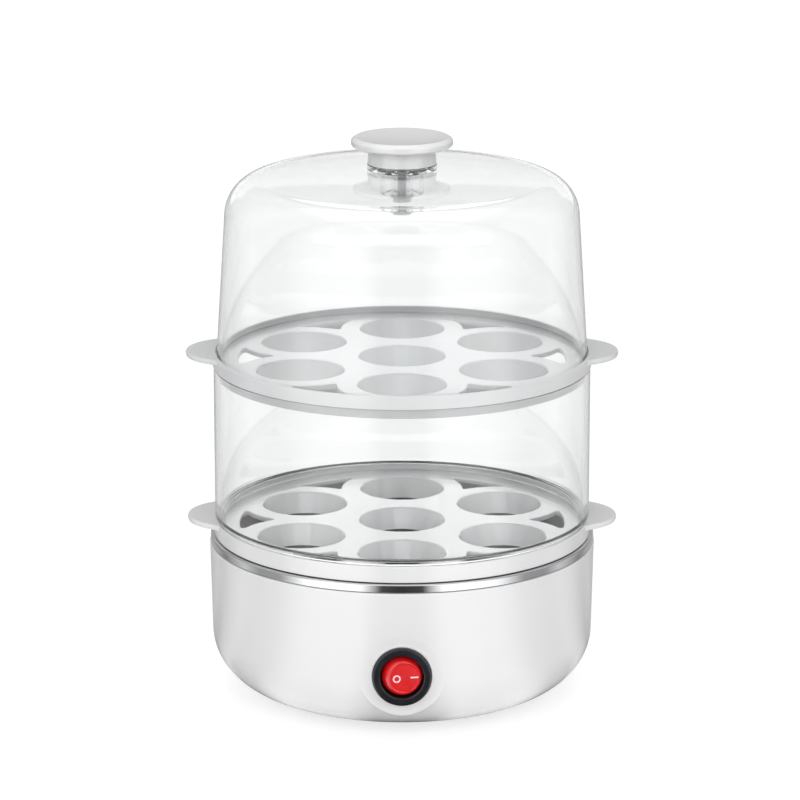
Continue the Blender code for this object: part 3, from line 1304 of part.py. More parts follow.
def make_wires(element_end_level):
    """Each wire runs from its block hole or tab to the piece it feeds. The points between are shares of the
    post circle across, and upwards of the space from the cover, or from the block, to the clamp plate."""
    tail_reach = SWITCH_DEPTH + TERMINAL_TAIL + SEAT_GAP - switch_pad_face
    pin_level = element_end_level - 2 * SEAT_GAP - ELEMENT_BEAD_LENGTH - ELEMENT_PIN_LENGTH
    lead = WIRE_LEAD
    fuse_reach = FUSE_LENGTH / 2 + SEAT_GAP
    tab_reach = STAT_TAB_REACH + SEAT_GAP
    tab_middle = stat_tab_level + STAT_TAB_SHEET / 2

    def from_block(number):
        pole = block_pole(number)
        return [pole + Vector((0, WIRE_BITE, 0)), pole - Vector((0, lead, 0))]

    def to_switch(place):
        end = Vector((place * TERMINAL_SPACING, tail_reach, switch_level))
        return [end + Vector((0, lead, 0)), end]

    def to_pin(side):
        end = Vector((element_end(side).x, element_end(side).y, pin_level))
        return [end - Vector((0, 0, lead)), end]

    def to_tab(side):
        end = Vector((side * tab_reach, 0, tab_middle))
        return [end + Vector((side * lead, 0, 0)), end]

    def to_fuse(side):
        end = Vector((side * fuse_reach, -fuse_setback, fuse_level))
        return [end + Vector((side * lead, 0, 0)), end]

    def between(shares, floor=cover_top):
        height = clamp_bottom - floor
        return [
            Vector((across * POST_CIRCLE_RADIUS, along * POST_CIRCLE_RADIUS, floor + up * height))
            for across, along, up in shares
        ]

    live_shares = [(-0.46, 0.45, 0.17), (-0.44, -0.35, 0.20), (-0.24, -1.25, 0.40)]
    lamp_shares = [(0.50, 0.45, 0.17), (0.50, -0.35, 0.20), (0.36, -1.25, 0.40)]
    switched_shares = [(-0.52, -1.30, 0.58), (-1.00, -0.62, 0.60), (-1.02, -0.15, 0.80)]
    element_shares = [(0.80, 0.10, 0.54), (0.46, 0.60, 0.36), (0.30, 1.12, 0.27)]
    neutral_shares = [(0.20, 0.62, 0.24), (0.34, 0.02, 0.42), (0.66, -0.52, 0.74)]
    fuse_shares = [(-0.66, -0.42, 0.46), (-0.46, 0.34, 0.30), (-0.30, 1.12, 0.27)]
    earth_shares = [(-0.10, 0.66, 0.34)]
    earth_end = Vector((-0.05 * POST_CIRCLE_RADIUS, POST_CIRCLE_RADIUS / 2, clamp_bottom - SEAT_GAP))
    earth_lead = [earth_end - Vector((0, 0, lead)), earth_end]
    routes = {
        "wire_live": (from_block(0) + between(live_shares) + to_switch(0), LIVE_WIRE),
        "wire_lamp": (from_block(3) + between(lamp_shares) + to_switch(1), NEUTRAL_WIRE),
        "wire_switched": (to_switch(-1)[::-1] + between(switched_shares) + to_tab(-1), LIVE_WIRE),
        "wire_element": (to_tab(1)[::-1] + between(element_shares, block_top) + to_pin(1), LIVE_WIRE),
        "wire_neutral": (from_block(2) + between(neutral_shares) + to_fuse(1), NEUTRAL_WIRE),
        "wire_fuse": (to_fuse(-1)[::-1] + between(fuse_shares, block_top) + to_pin(-1), NEUTRAL_WIRE),
        "wire_earth": (from_block(1) + between(earth_shares) + earth_lead, EARTH_WIRE),
    }
    for name, (points, surface) in routes.items():
        wire = tube(name, smooth_route(points, WIRE_STEP), WIRE_RADIUS)
        wire.data.materials.append(surface)


SWITCH_FRAME = frame("switch_frame", (0, -switch_pad_face, switch_level), (math.pi / 2, 0, 0))
ROCKER_PIVOT = frame("rocker_pivot", (0, 0, pivot_level), (0, ROCKER_TILT, 0), SWITCH_FRAME)
BAR_PIVOT = frame("bar_pivot", (0, 0, bar_rear), (0, -BAR_TILT, 0), SWITCH_FRAME)
GLAND_FRAME = frame("gland_frame", (0, gland_pad_face, gland_level), (-math.pi / 2, 0, 0))

make_base_shell()
make_bottom_cover()
make_feet()
make_tie_posts()
make_pan()
make_diffuser()
element_end_level = make_element()
make_clamp_plate()
make_thermostat()
make_fuse()
make_terminal_block()
make_gland()
make_tray("lower_tray", lower_tray_bottom, LOWER_RIM_HEIGHT, WHITE_PLASTIC)
make_middle_ring()
make_tray("upper_tray", upper_tray_bottom, UPPER_RIM_HEIGHT, FROSTED_PLASTIC)
make_dome()
make_knob()
make_switch_body()
make_rocker()
make_contacts()
make_wires(element_end_level)
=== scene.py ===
import math

import bmesh
import bpy
from mathutils import Matrix, Vector


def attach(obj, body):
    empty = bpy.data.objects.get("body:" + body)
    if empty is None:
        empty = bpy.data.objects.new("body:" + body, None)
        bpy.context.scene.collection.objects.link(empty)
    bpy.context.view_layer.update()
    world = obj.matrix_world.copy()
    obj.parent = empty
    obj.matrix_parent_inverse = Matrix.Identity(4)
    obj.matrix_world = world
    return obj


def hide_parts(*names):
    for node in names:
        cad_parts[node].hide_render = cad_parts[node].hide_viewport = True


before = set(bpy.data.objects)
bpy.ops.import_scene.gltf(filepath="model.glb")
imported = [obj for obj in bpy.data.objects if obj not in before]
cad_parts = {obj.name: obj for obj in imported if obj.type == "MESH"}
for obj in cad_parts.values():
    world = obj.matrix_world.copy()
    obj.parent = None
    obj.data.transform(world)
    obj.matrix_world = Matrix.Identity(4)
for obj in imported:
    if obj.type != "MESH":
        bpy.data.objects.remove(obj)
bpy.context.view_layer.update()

# The cooker stands on z = 0 on its axis, with its switch towards -Y. Sizes are written in millimetres.
MM = 0.001
ROUND_SIDES = 192
MID_SIDES = 96
SMALL_SIDES = 48
SHARP_ANGLE = math.radians(34)
CUTTER_PHASE = math.radians(0.73)

# Base shell, with the pads for the switch and the cord
BODY_RADIUS = 77.4
SHELL_TOP = 62.9
SHELL_BOTTOM = 2.9
SHELL_WALL = 2.4
CORNER_CENTRE = 49.9
CORNER_LEVEL = 26.7
CORNER_WIDTH = 26.7
CORNER_HEIGHT = 23.8
COVER_RECESS = 52.3
OPENING_RADIUS = 48.0
LEDGE_BOTTOM = 5.2
LEDGE_TOP = 7.4
SWITCH_PAD_FACE = 78.1
SWITCH_LEVEL = 29.99
SWITCH_PAD = 17.5
SWITCH_PAD_DEPTH = 9.2
SWITCH_HOLE = 10.15
SWITCH_PAD_FLAT = 11.8
GLAND_PAD_FACE = 77.4
GLAND_LEVEL = 24.5
GLAND_PAD = 8.5
GLAND_PAD_DEPTH = 5.0
GLAND_HOLE = 5.1
GLAND_PAD_FLAT = 5.6
PAD_PANEL = 2.2
PAD_POCKET_DEPTH = 28.0
PAD_EDGE = 1.4
PAD_STEP = 0.12
PAD_RELIEF = 0.04
PAD_FACE_DEPTH = 6.0

# Bottom cover with its screws and feet, and the bush for the cord
COVER_TOP = 4.9
COVER_RADIUS = 52.0
POST_CIRCLE = 27.0
POST_ANGLE = math.radians(32)
FOOT_CIRCLE = 43.5
FOOT_ANGLE = math.radians(45)
SCREW_HOLE = 1.8
FOOT_HOLE = 2.4
VENT_SLOTS = 4
VENT_SLOT_PLACE = 39
VENT_SLOT_HALF = 3.8
VENT_SLOT_END = 1.2
VENT_SLOT_FLARE = 0.6
VENT_SLOT_STEP = math.radians(9)
PAD_FOOT = 6.8
PAD_FOOT_NECK = 2.1
PAD_FOOT_TOP = 2.6
PAD_FOOT_HOLLOW = 0.4
SCREW_RADIUS = 1.5
SCREW_HEAD = 2.9
SCREW_HEAD_BOTTOM = 1.0
CROSS_REACH = 1.7
CROSS_HALF = 0.32
CROSS_TAPER = 0.55
BUSH_BORE = 3.2
BUSH_NECK = 4.8
BUSH_COLLAR = 6.6
BUSH_FACE = 3.3
BUSH_END = -5.1

# Heating pan
PAN_MOUTH = 73.4
PAN_FLOOR = 52.0
PAN_CORNER = 8.0
PAN_SHEET = 0.8
BEAD_BOTTOM = 63.2
BEAD_TOP = 66.4
BEAD_RADIUS = 77.1

# Trays, as radii and as levels over the lower edge of the rim
TRAY_RADIUS = 75.6
RIM_INNER = 74.3
SKIRT_RADIUS = 73.1
SKIRT_INNER = 71.7
SKIRT_DEPTH = 3.8
RECESS_DEPTH = 2.8
TRAY_FLOOR = 1.8
COLLAR_RADIUS = 18.6
COLLAR_DEPTH = 8.2
COLLAR_TAPER = 3.0
SEAT_RADIUS = 17.0
SEAT_FLARE = 1.1
VENT_FLARE = 0.7
FLARE_OVERRUN = 0.08
SEAT_CIRCLE = 46.0
SEATS_ROUND = 6
VENT_OUTER = 65.3
VENT_SIDE = 25.3
EAR_TIP_REACH = 86.3
EAR_TIP_RADIUS = 19.0
EAR_FILLET = 14.0
EAR_THICKNESS = 2.3
EAR_DROP = 0.2
EAR_EDGE = 0.6
LOWER_TRAY_BOTTOM = 66.7
LOWER_RIM_HEIGHT = 6.6
UPPER_TRAY_BOTTOM = 135.7
UPPER_RIM_HEIGHT = 5.6

# Clear ring and dome
RING_RADIUS = 75.2
RING_WALL = 1.8
RING_BOTTOM = 70.8
RING_NECK = 73.6
RING_TOP = 135.6
CLEAR_FOOT = 74.0
DOME_BOTTOM = 138.8
DOME_SHOULDER_RADIUS = 70.3
DOME_SHOULDER = 211.5
DOME_CORNER = 15.4
DOME_SWEEP = math.radians(84)
DOME_CROWN = 214.616
DOME_CROWN_RISE = 3.2
DOME_CROWN_POWER = 2.6
DOME_WALL = 1.8
KNOB_PAD = 13.8
KNOB_PAD_TOP = 216.716
KNOB_POST = 8.5
KNOB_POST_END = 203.816
KNOB_BOTTOM = 217.016
KNOB_SEAT = KNOB_PAD_TOP + 0.03
KNOB_DISC = 223.116
KNOB_TOP = 227.316
KNOB_RADIUS = 20.1
KNOB_DISH = 1.1
KNOB_SOCKET_TOP = KNOB_BOTTOM + 6.8
SCREW_BORE = 2.0
WASHER_RADIUS = 4.8
WASHER_THICKNESS = 0.8
FIXING_RADIUS = 1.7
FIXING_HEAD = 3.6
FIXING_HEAD_HEIGHT = 2.2

# Round rocker switch, measured out of the face of its pad
BEZEL_RADIUS = 11.75
BEZEL_TOP = 2.5
BEZEL_FOOT = 0.3
BARREL_RADIUS = 9.85
SWITCH_DEPTH = 15.2
SWITCH_FLOOR = -13.2
ROCKER_BORE = 8.45
ROCKER_RADIUS = 8.15
ROCKER_FACE = 5.0
ROCKER_SKIRT = 2.6
ROCKER_INNER = 6.85
ROCKER_CEILING = 3.7
PIVOT_LEVEL = -2.1
ROCKER_TILT = math.radians(10)
ROCKER_DISH = 0.25
SOCKET_BORE = 1.5
SOCKET_OUTER = 2.6
SOCKET_END = -4.1
SOCKET_TOP = 2.4
OFF_MARK_CENTRE = (-2.9, -0.3)
OFF_MARK_INNER = 1.0
OFF_MARK_OUTER = 1.55
ON_MARK_START = 2.5
ON_MARK_END = 5.7
ON_MARK_HALF = 0.3
MARK_RISE = 0.12
MARK_ROOT = 0.2
GRIP_PITCH = 0.9
GRIP_ROWS = 13
GRIP_DOT = 0.52
GRIP_RISE = 0.09
GRIP_MARGIN = 1.35
TERMINAL_SPACING = 6.0
TERMINAL_SLOT_HALF = (0.7, 2.7)

# Studio, in metres and shares of white; the floor lies a hair below the feet, clear of their faces
FLOOR_RADIUS = 4.0
FLOOR_GAP = 0.1 * MM
FLOOR_TONE = 0.84
FLOOR_SEEN = 0.44
FLOOR_GLOW = 0.72
ROOM_LIGHT = 0.42
CAMERA_PLACE = (0, -1.6, 0.541)
CAMERA_AIM = (0, 0, 0.12)
CAMERA_LENS = 185.99
CAMERA_SHIFT = -0.0025
# Where each softbox stands, the height on the axis that it faces, its two sides and its watts
SOFTBOXES = {
    "front_softbox": ((0.0, -2.5, 1.3), 0.1, (2.4, 1.6), 26),
    "top_softbox": ((0.0, 0.3, 2.4), 0.1, (2.4, 2.4), 19),
    "back_softbox": ((0.0, 2.4, 0.55), 0.08, (2.6, 0.8), 5),
    "left_softbox": ((-1.7, -1.6, 0.8), 0.1, (1.2, 1.4), 5),
    "right_softbox": ((1.7, -1.6, 0.8), 0.1, (1.2, 1.4), 5),
}
# What gloss and metal reflect, from in front of the switch (0) to behind the cooker (1): the dark camera
# side, a bright panel on each side of it, the grey side walls with a paler stretch, and the grey back wall
STUDIO_TONES = (
    (0.0, 0.05), (0.07, 0.08), (0.14, 1.6), (0.33, 1.6), (0.44, 0.45), (0.54, 0.42),
    (0.62, 0.8), (0.68, 0.6), (0.76, 0.3), (0.84, 0.5), (1.0, 0.5),
)
STUDIO_CEILING = 0.95
# The floor close by is seen from the wall, not from the axis, so its tones lie that much further round
FLOOR_GAIN = 1.19
# A painted shadow dims the glow that gloss and metal see in the floor under the base, between these
# distances from the axis
PAINTED_SHADOW_UNDER_BASE = {"From Min": 0.050, "From Max": 0.072, "To Min": 0.1, "To Max": 1.12}

SWITCH_AXES = Matrix.Translation((0, -SWITCH_PAD_FACE, SWITCH_LEVEL)) @ Matrix.Rotation(math.pi / 2, 4, "X")
ROCKER_AXES = SWITCH_AXES @ Matrix.Translation((0, 0, PIVOT_LEVEL)) @ Matrix.Rotation(ROCKER_TILT, 4, "Y")
GLAND_AXES = Matrix.Translation((0, GLAND_PAD_FACE, GLAND_LEVEL)) @ Matrix.Rotation(-math.pi / 2, 4, "X")


# Materials


def linear(hex_colour):
    """An sRGB hex colour as the linear values that a shader takes."""
    channels = [int(hex_colour[at : at + 2], 16) / 255 for at in (0, 2, 4)]
    return (*[c / 12.92 if c <= 0.04045 else ((c + 0.055) / 1.055) ** 2.4 for c in channels], 1.0)


def join(tree, node, links):
    """Links a node's inputs, by name or number, to sockets or to other nodes' first outputs."""
    for key, source in dict(links).items():
        socket = source.outputs[0] if isinstance(source, bpy.types.Node) else source
        tree.links.new(socket, node.inputs[key])


def add(tree, kind, links=(), values=(), **settings):
    """A node with its settings, and its inputs joined to others or given values."""
    node = tree.nodes.new(kind)
    for key, value in settings.items():
        setattr(node, key, value)
    for key, value in dict(values).items():
        node.inputs[key].default_value = value
    join(tree, node, links)
    return node


# A Mix node's colour sockets share their names with its other kinds, so they go by number
MIX_FIRST, MIX_SECOND, MIX_RESULT = 6, 7, 2


def finish(name, colours, roughness, blot_mm, grain_mm, relief_mm, **shader):
    """A material whose colour and gloss drift between two values each, with a fine relief on its skin."""
    made = bpy.data.materials.new(name)
    made.use_nodes = True
    tree = made.node_tree
    principled = tree.nodes["Principled BSDF"]
    for key, value in shader.items():
        principled.inputs[key.replace("_", " ")].default_value = value
    position = add(tree, "ShaderNodeTexCoord").outputs["Object"]
    noises = []
    for size_mm, detail, rough in ((blot_mm, 3.0, 0.5), (blot_mm / 4, 4.0, 0.6), (grain_mm, 4.0, 0.6)):
        values = {"Scale": 1 / (size_mm * MM), "Detail": detail, "Roughness": rough}
        noises.append(add(tree, "ShaderNodeTexNoise", {"Vector": position}, values))
    blots, sheen, grain = noises
    ranges = []
    for source, low, high in ((blots, 0, 1), (sheen, *roughness)):
        values = {"From Min": 0.3, "From Max": 0.7, "To Min": low, "To Max": high}
        ranges.append(add(tree, "ShaderNodeMapRange", {"Value": source}, values))
    drift, gloss = ranges
    tones = {MIX_FIRST: linear(colours[0]), MIX_SECOND: linear(colours[1])}
    colour = add(tree, "ShaderNodeMix", {0: drift}, tones, data_type="RGBA").outputs[MIX_RESULT]
    relief = add(tree, "ShaderNodeBump", {"Height": grain}, {"Strength": 1.0, "Distance": relief_mm * MM})
    join(tree, principled, {"Base Color": colour, "Roughness": gloss, "Normal": relief})
    return made


def tinted_wall(material, hex_colour, density):
    """Makes a clear wall drink a little light for each metre in it, so that its edges look grey."""
    tree = material.node_tree
    drink = add(tree, "ShaderNodeVolumeAbsorption", (), {"Color": linear(hex_colour), "Density": density})
    join(tree, tree.nodes["Material Output"], {"Volume": drink})


# Polished mould: even white with a clear gloss that only just ripples
WHITE_PLASTIC = finish(
    "white_polypropylene_gloss_moulded", ("F3F3F4", "F7F7F7"), (0.14, 0.22), 45, 9, 0.010,
    IOR=1.49, Coat_Weight=0.8, Coat_Roughness=0.06,
)
# Finely etched mould: a milky skin that lets light through but blurs what lies behind
FROSTED_PLASTIC = finish(
    "frosted_polypropylene_etched", ("F4F5F6", "FAFBFB"), (0.28, 0.36), 30, 0.8, 0.0015,
    IOR=1.49, Transmission_Weight=0.15, Coat_Weight=0.6, Coat_Roughness=0.1,
)
# Clear moulding: almost no colour, a sharp shine, and faint flow ripples in the wall
CLEAR_PLASTIC = finish(
    "clear_polycarbonate_polished_mould", ("FCFDFD", "FFFFFF"), (0.015, 0.035), 60, 34, 0.012,
    IOR=1.585, Transmission_Weight=1.0,
)
tinted_wall(CLEAR_PLASTIC, "C8CCCE", 40)
# Pressed and buffed sheet: a bright mirror with a faint haze from the wheel
POLISHED_STEEL = finish(
    "stainless_sheet_buffed", ("CFD0D2", "D8D9DA"), (0.07, 0.13), 20, 0.6, 0.0006, Metallic=1.0
)
# Sprayed coating: near black, half gloss, with the orange-peel skin of a spray coat
NON_STICK = finish(
    "non_stick_coating_sprayed", ("101113", "17181B"), (0.27, 0.38), 12, 1.4, 0.010, IOR=1.38
)
# Spark-eroded mould: dark blue-black with a satin skin
BLACK_NYLON = finish(
    "black_nylon_spark_eroded", ("17181D", "202228"), (0.30, 0.42), 6, 0.35, 0.008, IOR=1.53
)
# Red tinted moulding over the lamp: deep, glossy and a little see-through
RED_PLASTIC = finish(
    "red_polycarbonate_tinted", ("EC1219", "F82228"), (0.10, 0.18), 5, 0.7, 0.012,
    IOR=1.585, Transmission_Weight=0.08, Coat_Weight=0.5, Coat_Roughness=0.05,
)
# Pad-printed mark on the rocker: slightly rough pinkish white paint
WHITE_MARK = finish("white_marking_paint", ("FFE9EA", "FFF6F6"), (0.35, 0.5), 1.5, 0.2, 0.004)
# Compression-moulded rubber: matt grey with a dry skin
RUBBER = finish("grey_rubber_matt_moulded", ("6C6D6F", "7A7B7D"), (0.62, 0.78), 5, 0.4, 0.02)
# Cured silicone: soft, milky and slightly greasy to the eye
SILICONE = finish(
    "translucent_silicone_cured", ("D9DBDB", "E4E5E5"), (0.34, 0.46), 6, 0.7, 0.008, Transmission_Weight=0.3
)
# Die-cast: pale grey metal with a fine pitted skin
CAST_ALUMINIUM = finish(
    "aluminium_die_cast", ("A9ABAD", "B9BBBD"), (0.38, 0.52), 10, 0.9, 0.03, Metallic=1.0
)
# Bright zinc plate: bluish grey metal with cloudy patches
ZINC_STEEL = finish("steel_zinc_plated", ("D2D6DA", "DFE2E4"), (0.46, 0.60), 3.5, 0.5, 0.006, Metallic=1.0)
# Drawn sheath, heat-tinted: warm brown-grey metal
SHEATH_STEEL = finish(
    "element_sheath_annealed", ("7C736B", "95897B"), (0.36, 0.5), 8, 0.4, 0.008, Metallic=1.0
)
# Pressed and fired steatite: off-white with a dry, slightly gritty skin
CERAMIC = finish("steatite_ceramic_fired", ("E9E4D8", "F1EDE4"), (0.42, 0.58), 7, 0.5, 0.015)
# Tinned brass strip: pale yellow-grey metal
TINNED_BRASS = finish(
    "brass_strip_tinned", ("BDB9A6", "CCC7B0"), (0.22, 0.36), 2.5, 0.3, 0.004, Metallic=1.0
)
# Drawn spring wire: dark bright steel
SPRING_STEEL = finish("spring_wire_drawn", ("8E9196", "A2A5A9"), (0.2, 0.3), 1.5, 0.15, 0.002, Metallic=1.0)
# Lamp bulb: thin clear glass with an orange cast
LAMP_GLASS = finish(
    "neon_lamp_glass_drawn", ("FFB27A", "FFC79B"), (0.03, 0.07), 2.5, 1.2, 0.004,
    IOR=1.5, Transmission_Weight=0.8,
)
# Woven glass-fibre sleeve: white with a coarse dry surface
FUSE_SLEEVE = finish("glass_fibre_sleeve_braided", ("E7E5DD", "F3F2EE"), (0.6, 0.75), 2, 0.35, 0.05)
# Extruded silicone wire jackets: smooth, soft gloss
LIVE_WIRE = finish("brown_wire_jacket_extruded", ("5A2E1C", "6B3823"), (0.34, 0.46), 6, 0.5, 0.006)
NEUTRAL_WIRE = finish("blue_wire_jacket_extruded", ("1E4F93", "285CA6"), (0.34, 0.46), 6, 0.5, 0.006)
EARTH_WIRE = finish("green_yellow_wire_jacket_extruded", ("5D8F2B", "C9C52F"), (0.34, 0.46), 3, 0.5, 0.006)


# Ways to make shapes


def softened(corners, steps=6):
    """Corners of (radius, level, rounding) as (radius, level) points, with those corners rounded."""
    points = []
    count = len(corners)
    for number, corner in enumerate(corners):
        here = Vector(corner[:2])
        rounding = corner[2] if len(corner) > 2 else 0
        if not rounding:
            points.append(here)
            continue
        before = Vector(corners[number - 1][:2]) - here
        after = Vector(corners[(number + 1) % count][:2]) - here
        opening = before.angle(after)
        cut = rounding / math.tan(opening / 2)
        start = here + before.normalized() * cut
        end = here + after.normalized() * cut
        inwards = (before.normalized() + after.normalized()).normalized()
        centre = here + inwards * rounding / math.sin(opening / 2)
        sweep = math.pi - opening
        turn = 1 if (start - centre).cross(end - centre) > 0 else -1
        for step in range(steps + 1):
            points.append(centre + Matrix.Rotation(turn * sweep * step / steps, 2) @ (start - centre))
    return points


def arc(centre, radius, start, end, steps, squash=1.0):
    """Points on an arc, both ends included, with its height squashed by that share."""
    angles = [start + (end - start) * step / steps for step in range(steps + 1)]
    height = radius * squash
    return [(centre[0] + radius * math.cos(angle), centre[1] + height * math.sin(angle)) for angle in angles]


def as_object(name, shape, *materials):
    """A bmesh made a smooth-shaded object with those materials."""
    bmesh.ops.remove_doubles(shape, verts=shape.verts, dist=MM / 1000)
    bmesh.ops.recalc_face_normals(shape, faces=shape.faces)
    mesh = bpy.data.meshes.new(name)
    shape.to_mesh(mesh)
    shape.free()
    mesh.shade_smooth()
    obj = bpy.data.objects.new(name, mesh)
    bpy.context.scene.collection.objects.link(obj)
    for material in materials:
        mesh.materials.append(material)
    return obj


def lathe(name, points, *materials, sides=ROUND_SIDES, axes=Matrix(), centre=(0, 0), phase=0.0):
    """A closed body turned about an axis, from a closed loop or from a line that starts and ends on it.
    A flat end is one face, and a domed end closes in a point."""
    shape = bmesh.new()
    rings = []
    to_metres = axes @ Matrix.Diagonal((MM, MM, MM, 1))
    for radius, level in (point[:2] for point in points):
        ring = []
        for number in range(1 if radius < MM else sides):
            angle = phase + 2 * math.pi * number / sides
            place_at = (centre[0] + radius * math.cos(angle), centre[1] + radius * math.sin(angle), level)
            ring.append(shape.verts.new(to_metres @ Vector(place_at)))
        rings.append((ring, level))
    for number, (ring, level) in enumerate(rings):
        following, next_level = rings[(number + 1) % len(rings)]
        if len(ring) == len(following) == 1:
            continue
        if 1 in (len(ring), len(following)) and abs(level - next_level) < MM:
            shape.faces.new(ring if len(following) == 1 else following)
            continue
        for side in range(sides):
            after = (side + 1) % sides
            corners = [ring[side % len(ring)], ring[after % len(ring)]]
            corners += [following[after % len(following)], following[side % len(following)]]
            shape.faces.new(list(dict.fromkeys(corners)))
    bmesh.ops.delete(shape, geom=[vert for vert in shape.verts if not vert.link_faces], context="VERTS")
    return as_object(name, shape, *materials)


def stacked(name, layers, *materials):
    """A closed body through outlines of equal length at rising levels, capped at both ends."""
    shape = bmesh.new()
    rings = []
    for outline, level in layers:
        rings.append([shape.verts.new((point[0] * MM, point[1] * MM, level * MM)) for point in outline])
    for lower, upper in zip(rings, rings[1:]):
        for number in range(len(lower)):
            after = (number + 1) % len(lower)
            shape.faces.new((lower[number], lower[after], upper[after], upper[number]))
    shape.faces.new(rings[0])
    shape.faces.new(rings[-1])
    return as_object(name, shape, *materials)


def in_metres(axes):
    """Axes whose origin is written in millimetres, with the origin in metres."""
    moved = axes.copy()
    moved.translation = axes.translation * MM
    return moved


def offset(outline, distance):
    """A closed outline, moved outwards by that distance along its corners' bisectors."""
    moved = []
    count = len(outline)
    turning = sum(a[0] * b[1] - b[0] * a[1] for a, b in zip([outline[-1], *outline], outline))
    out = 1 if turning > 0 else -1
    for number in range(count):
        before = Vector(outline[number]) - Vector(outline[number - 1])
        after = Vector(outline[(number + 1) % count]) - Vector(outline[number])
        normals = [Vector((edge.y, -edge.x)).normalized() * out for edge in (before, after)]
        middle = (normals[0] + normals[1]).normalized()
        reach = distance / max(0.5, middle.dot(normals[0]))
        moved.append(tuple(Vector(outline[number]) + middle * reach))
    return moved


def settle(obj):
    """Makes the object with its modifiers a plain mesh."""
    graph = bpy.context.evaluated_depsgraph_get()
    graph.update()
    mesh = bpy.data.meshes.new_from_object(obj.evaluated_get(graph))
    old = obj.data
    obj.modifiers.clear()
    obj.data = mesh
    bpy.data.meshes.remove(old)
    mesh.name = obj.name
    return obj


def combine(obj, operation, *tools):
    """Joins tools to an object, or cuts them from it, and removes the tools."""
    for tool in tools:
        step = obj.modifiers.new(operation.lower(), "BOOLEAN")
        step.operation = operation
        step.solver = "EXACT"
        step.object = tool
    settle(obj)
    for tool in tools:
        bpy.data.objects.remove(tool)
    return obj


def crisp(obj):
    """Sharp edges where faces meet at over the sharp angle, with normals led by the larger faces."""
    obj.data.shade_smooth()
    obj.data.set_sharp_from_angle(angle=SHARP_ANGLE)
    weigh = obj.modifiers.new("weigh", "WEIGHTED_NORMAL")
    weigh.keep_sharp = True
    weigh.weight = 60
    return settle(obj)


def copies_tree(name, sizes, lay_points):
    """Geometry Nodes that set copies of one solid on points and give them their finish. The sizes name the
    tree's inputs and their kinds, and lay_points adds the nodes that lay out and turn the points."""
    tree = bpy.data.node_groups.new(name, "GeometryNodeTree")
    sockets = {"Geometry": "NodeSocketGeometry", **sizes, "Finish": "NodeSocketMaterial"}
    for socket, kind in sockets.items():
        tree.interface.new_socket(socket, in_out="INPUT", socket_type=kind)
    tree.interface.new_socket("Geometry", in_out="OUTPUT", socket_type="NodeSocketGeometry")
    given = add(tree, "NodeGroupInput").outputs
    links = {"Instance": given["Geometry"], **lay_points(tree, given)}
    copies = add(tree, "GeometryNodeInstanceOnPoints", links)
    real = add(tree, "GeometryNodeRealizeInstances", {"Geometry": copies})
    dressed = add(tree, "GeometryNodeSetMaterial", {"Geometry": real, "Material": given["Finish"]})
    add(tree, "NodeGroupOutput", {"Geometry": dressed})
    return tree


def ring_points(tree, given):
    """All points on the Z axis, each copy turned a step further about it."""
    points = add(tree, "GeometryNodePoints", {"Count": given["Count"]})
    number = add(tree, "GeometryNodeInputIndex")
    turns = {0: number, 1: given["Step angle"], 2: given["First angle"]}
    turn = add(tree, "ShaderNodeMath", turns, operation="MULTIPLY_ADD")
    angles = add(tree, "ShaderNodeCombineXYZ", {"Z": turn})
    return {"Points": points, "Rotation": angles}


def disc_points(tree, given):
    """A square grid of points, kept inside a disc."""
    gaps = add(tree, "ShaderNodeMath", {0: given["Rows"]}, {1: 1.0}, operation="SUBTRACT")
    span = add(tree, "ShaderNodeMath", {0: gaps, 1: given["Pitch"]}, operation="MULTIPLY")
    sides = {"Size X": span, "Size Y": span, "Vertices X": given["Rows"], "Vertices Y": given["Rows"]}
    grid = add(tree, "GeometryNodeMeshGrid", sides)
    position = add(tree, "GeometryNodeInputPosition")
    reach = add(tree, "ShaderNodeVectorMath", {0: position}, operation="LENGTH")
    far = {0: reach.outputs["Value"], 1: given["Disc radius"]}
    outside = add(tree, "ShaderNodeMath", far, operation="GREATER_THAN")
    return {"Points": add(tree, "GeometryNodeDeleteGeometry", {"Geometry": grid, "Selection": outside})}


RING_TREE = copies_tree(
    "pieces_in_a_ring",
    {"Count": "NodeSocketInt", "First angle": "NodeSocketFloat", "Step angle": "NodeSocketFloat"},
    ring_points,
)
GRIP_TREE = copies_tree(
    "grip_dots_on_a_disc",
    {"Rows": "NodeSocketInt", "Pitch": "NodeSocketFloat", "Disc radius": "NodeSocketFloat"},
    disc_points,
)


def repeated(obj, tree, sizes, material):
    """Repeats a solid by that tree and makes the result a plain mesh."""
    step = obj.modifiers.new("copies", "NODES")
    step.node_group = tree
    sockets = {item.name: item.identifier for item in tree.interface.items_tree if item.in_out == "INPUT"}
    for size, value in {**sizes, "Finish": material}.items():
        step[sockets[size]] = value
    return settle(obj)


def ringed(obj, count, material, first_angle=0.0, step_angle=None):
    """Repeats a solid round the Z axis, evenly unless a step is given."""
    step = 2 * math.pi / count if step_angle is None else step_angle
    sizes = {"Count": count, "First angle": first_angle, "Step angle": step}
    return repeated(obj, RING_TREE, sizes, material)


def place(obj, body, slot, *nodes):
    """Finishes a piece: its shading, its body and the nodes that it replaces. The slot is not used."""
    crisp(obj)
    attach(obj, body)
    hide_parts(*nodes)


# Pieces of the base


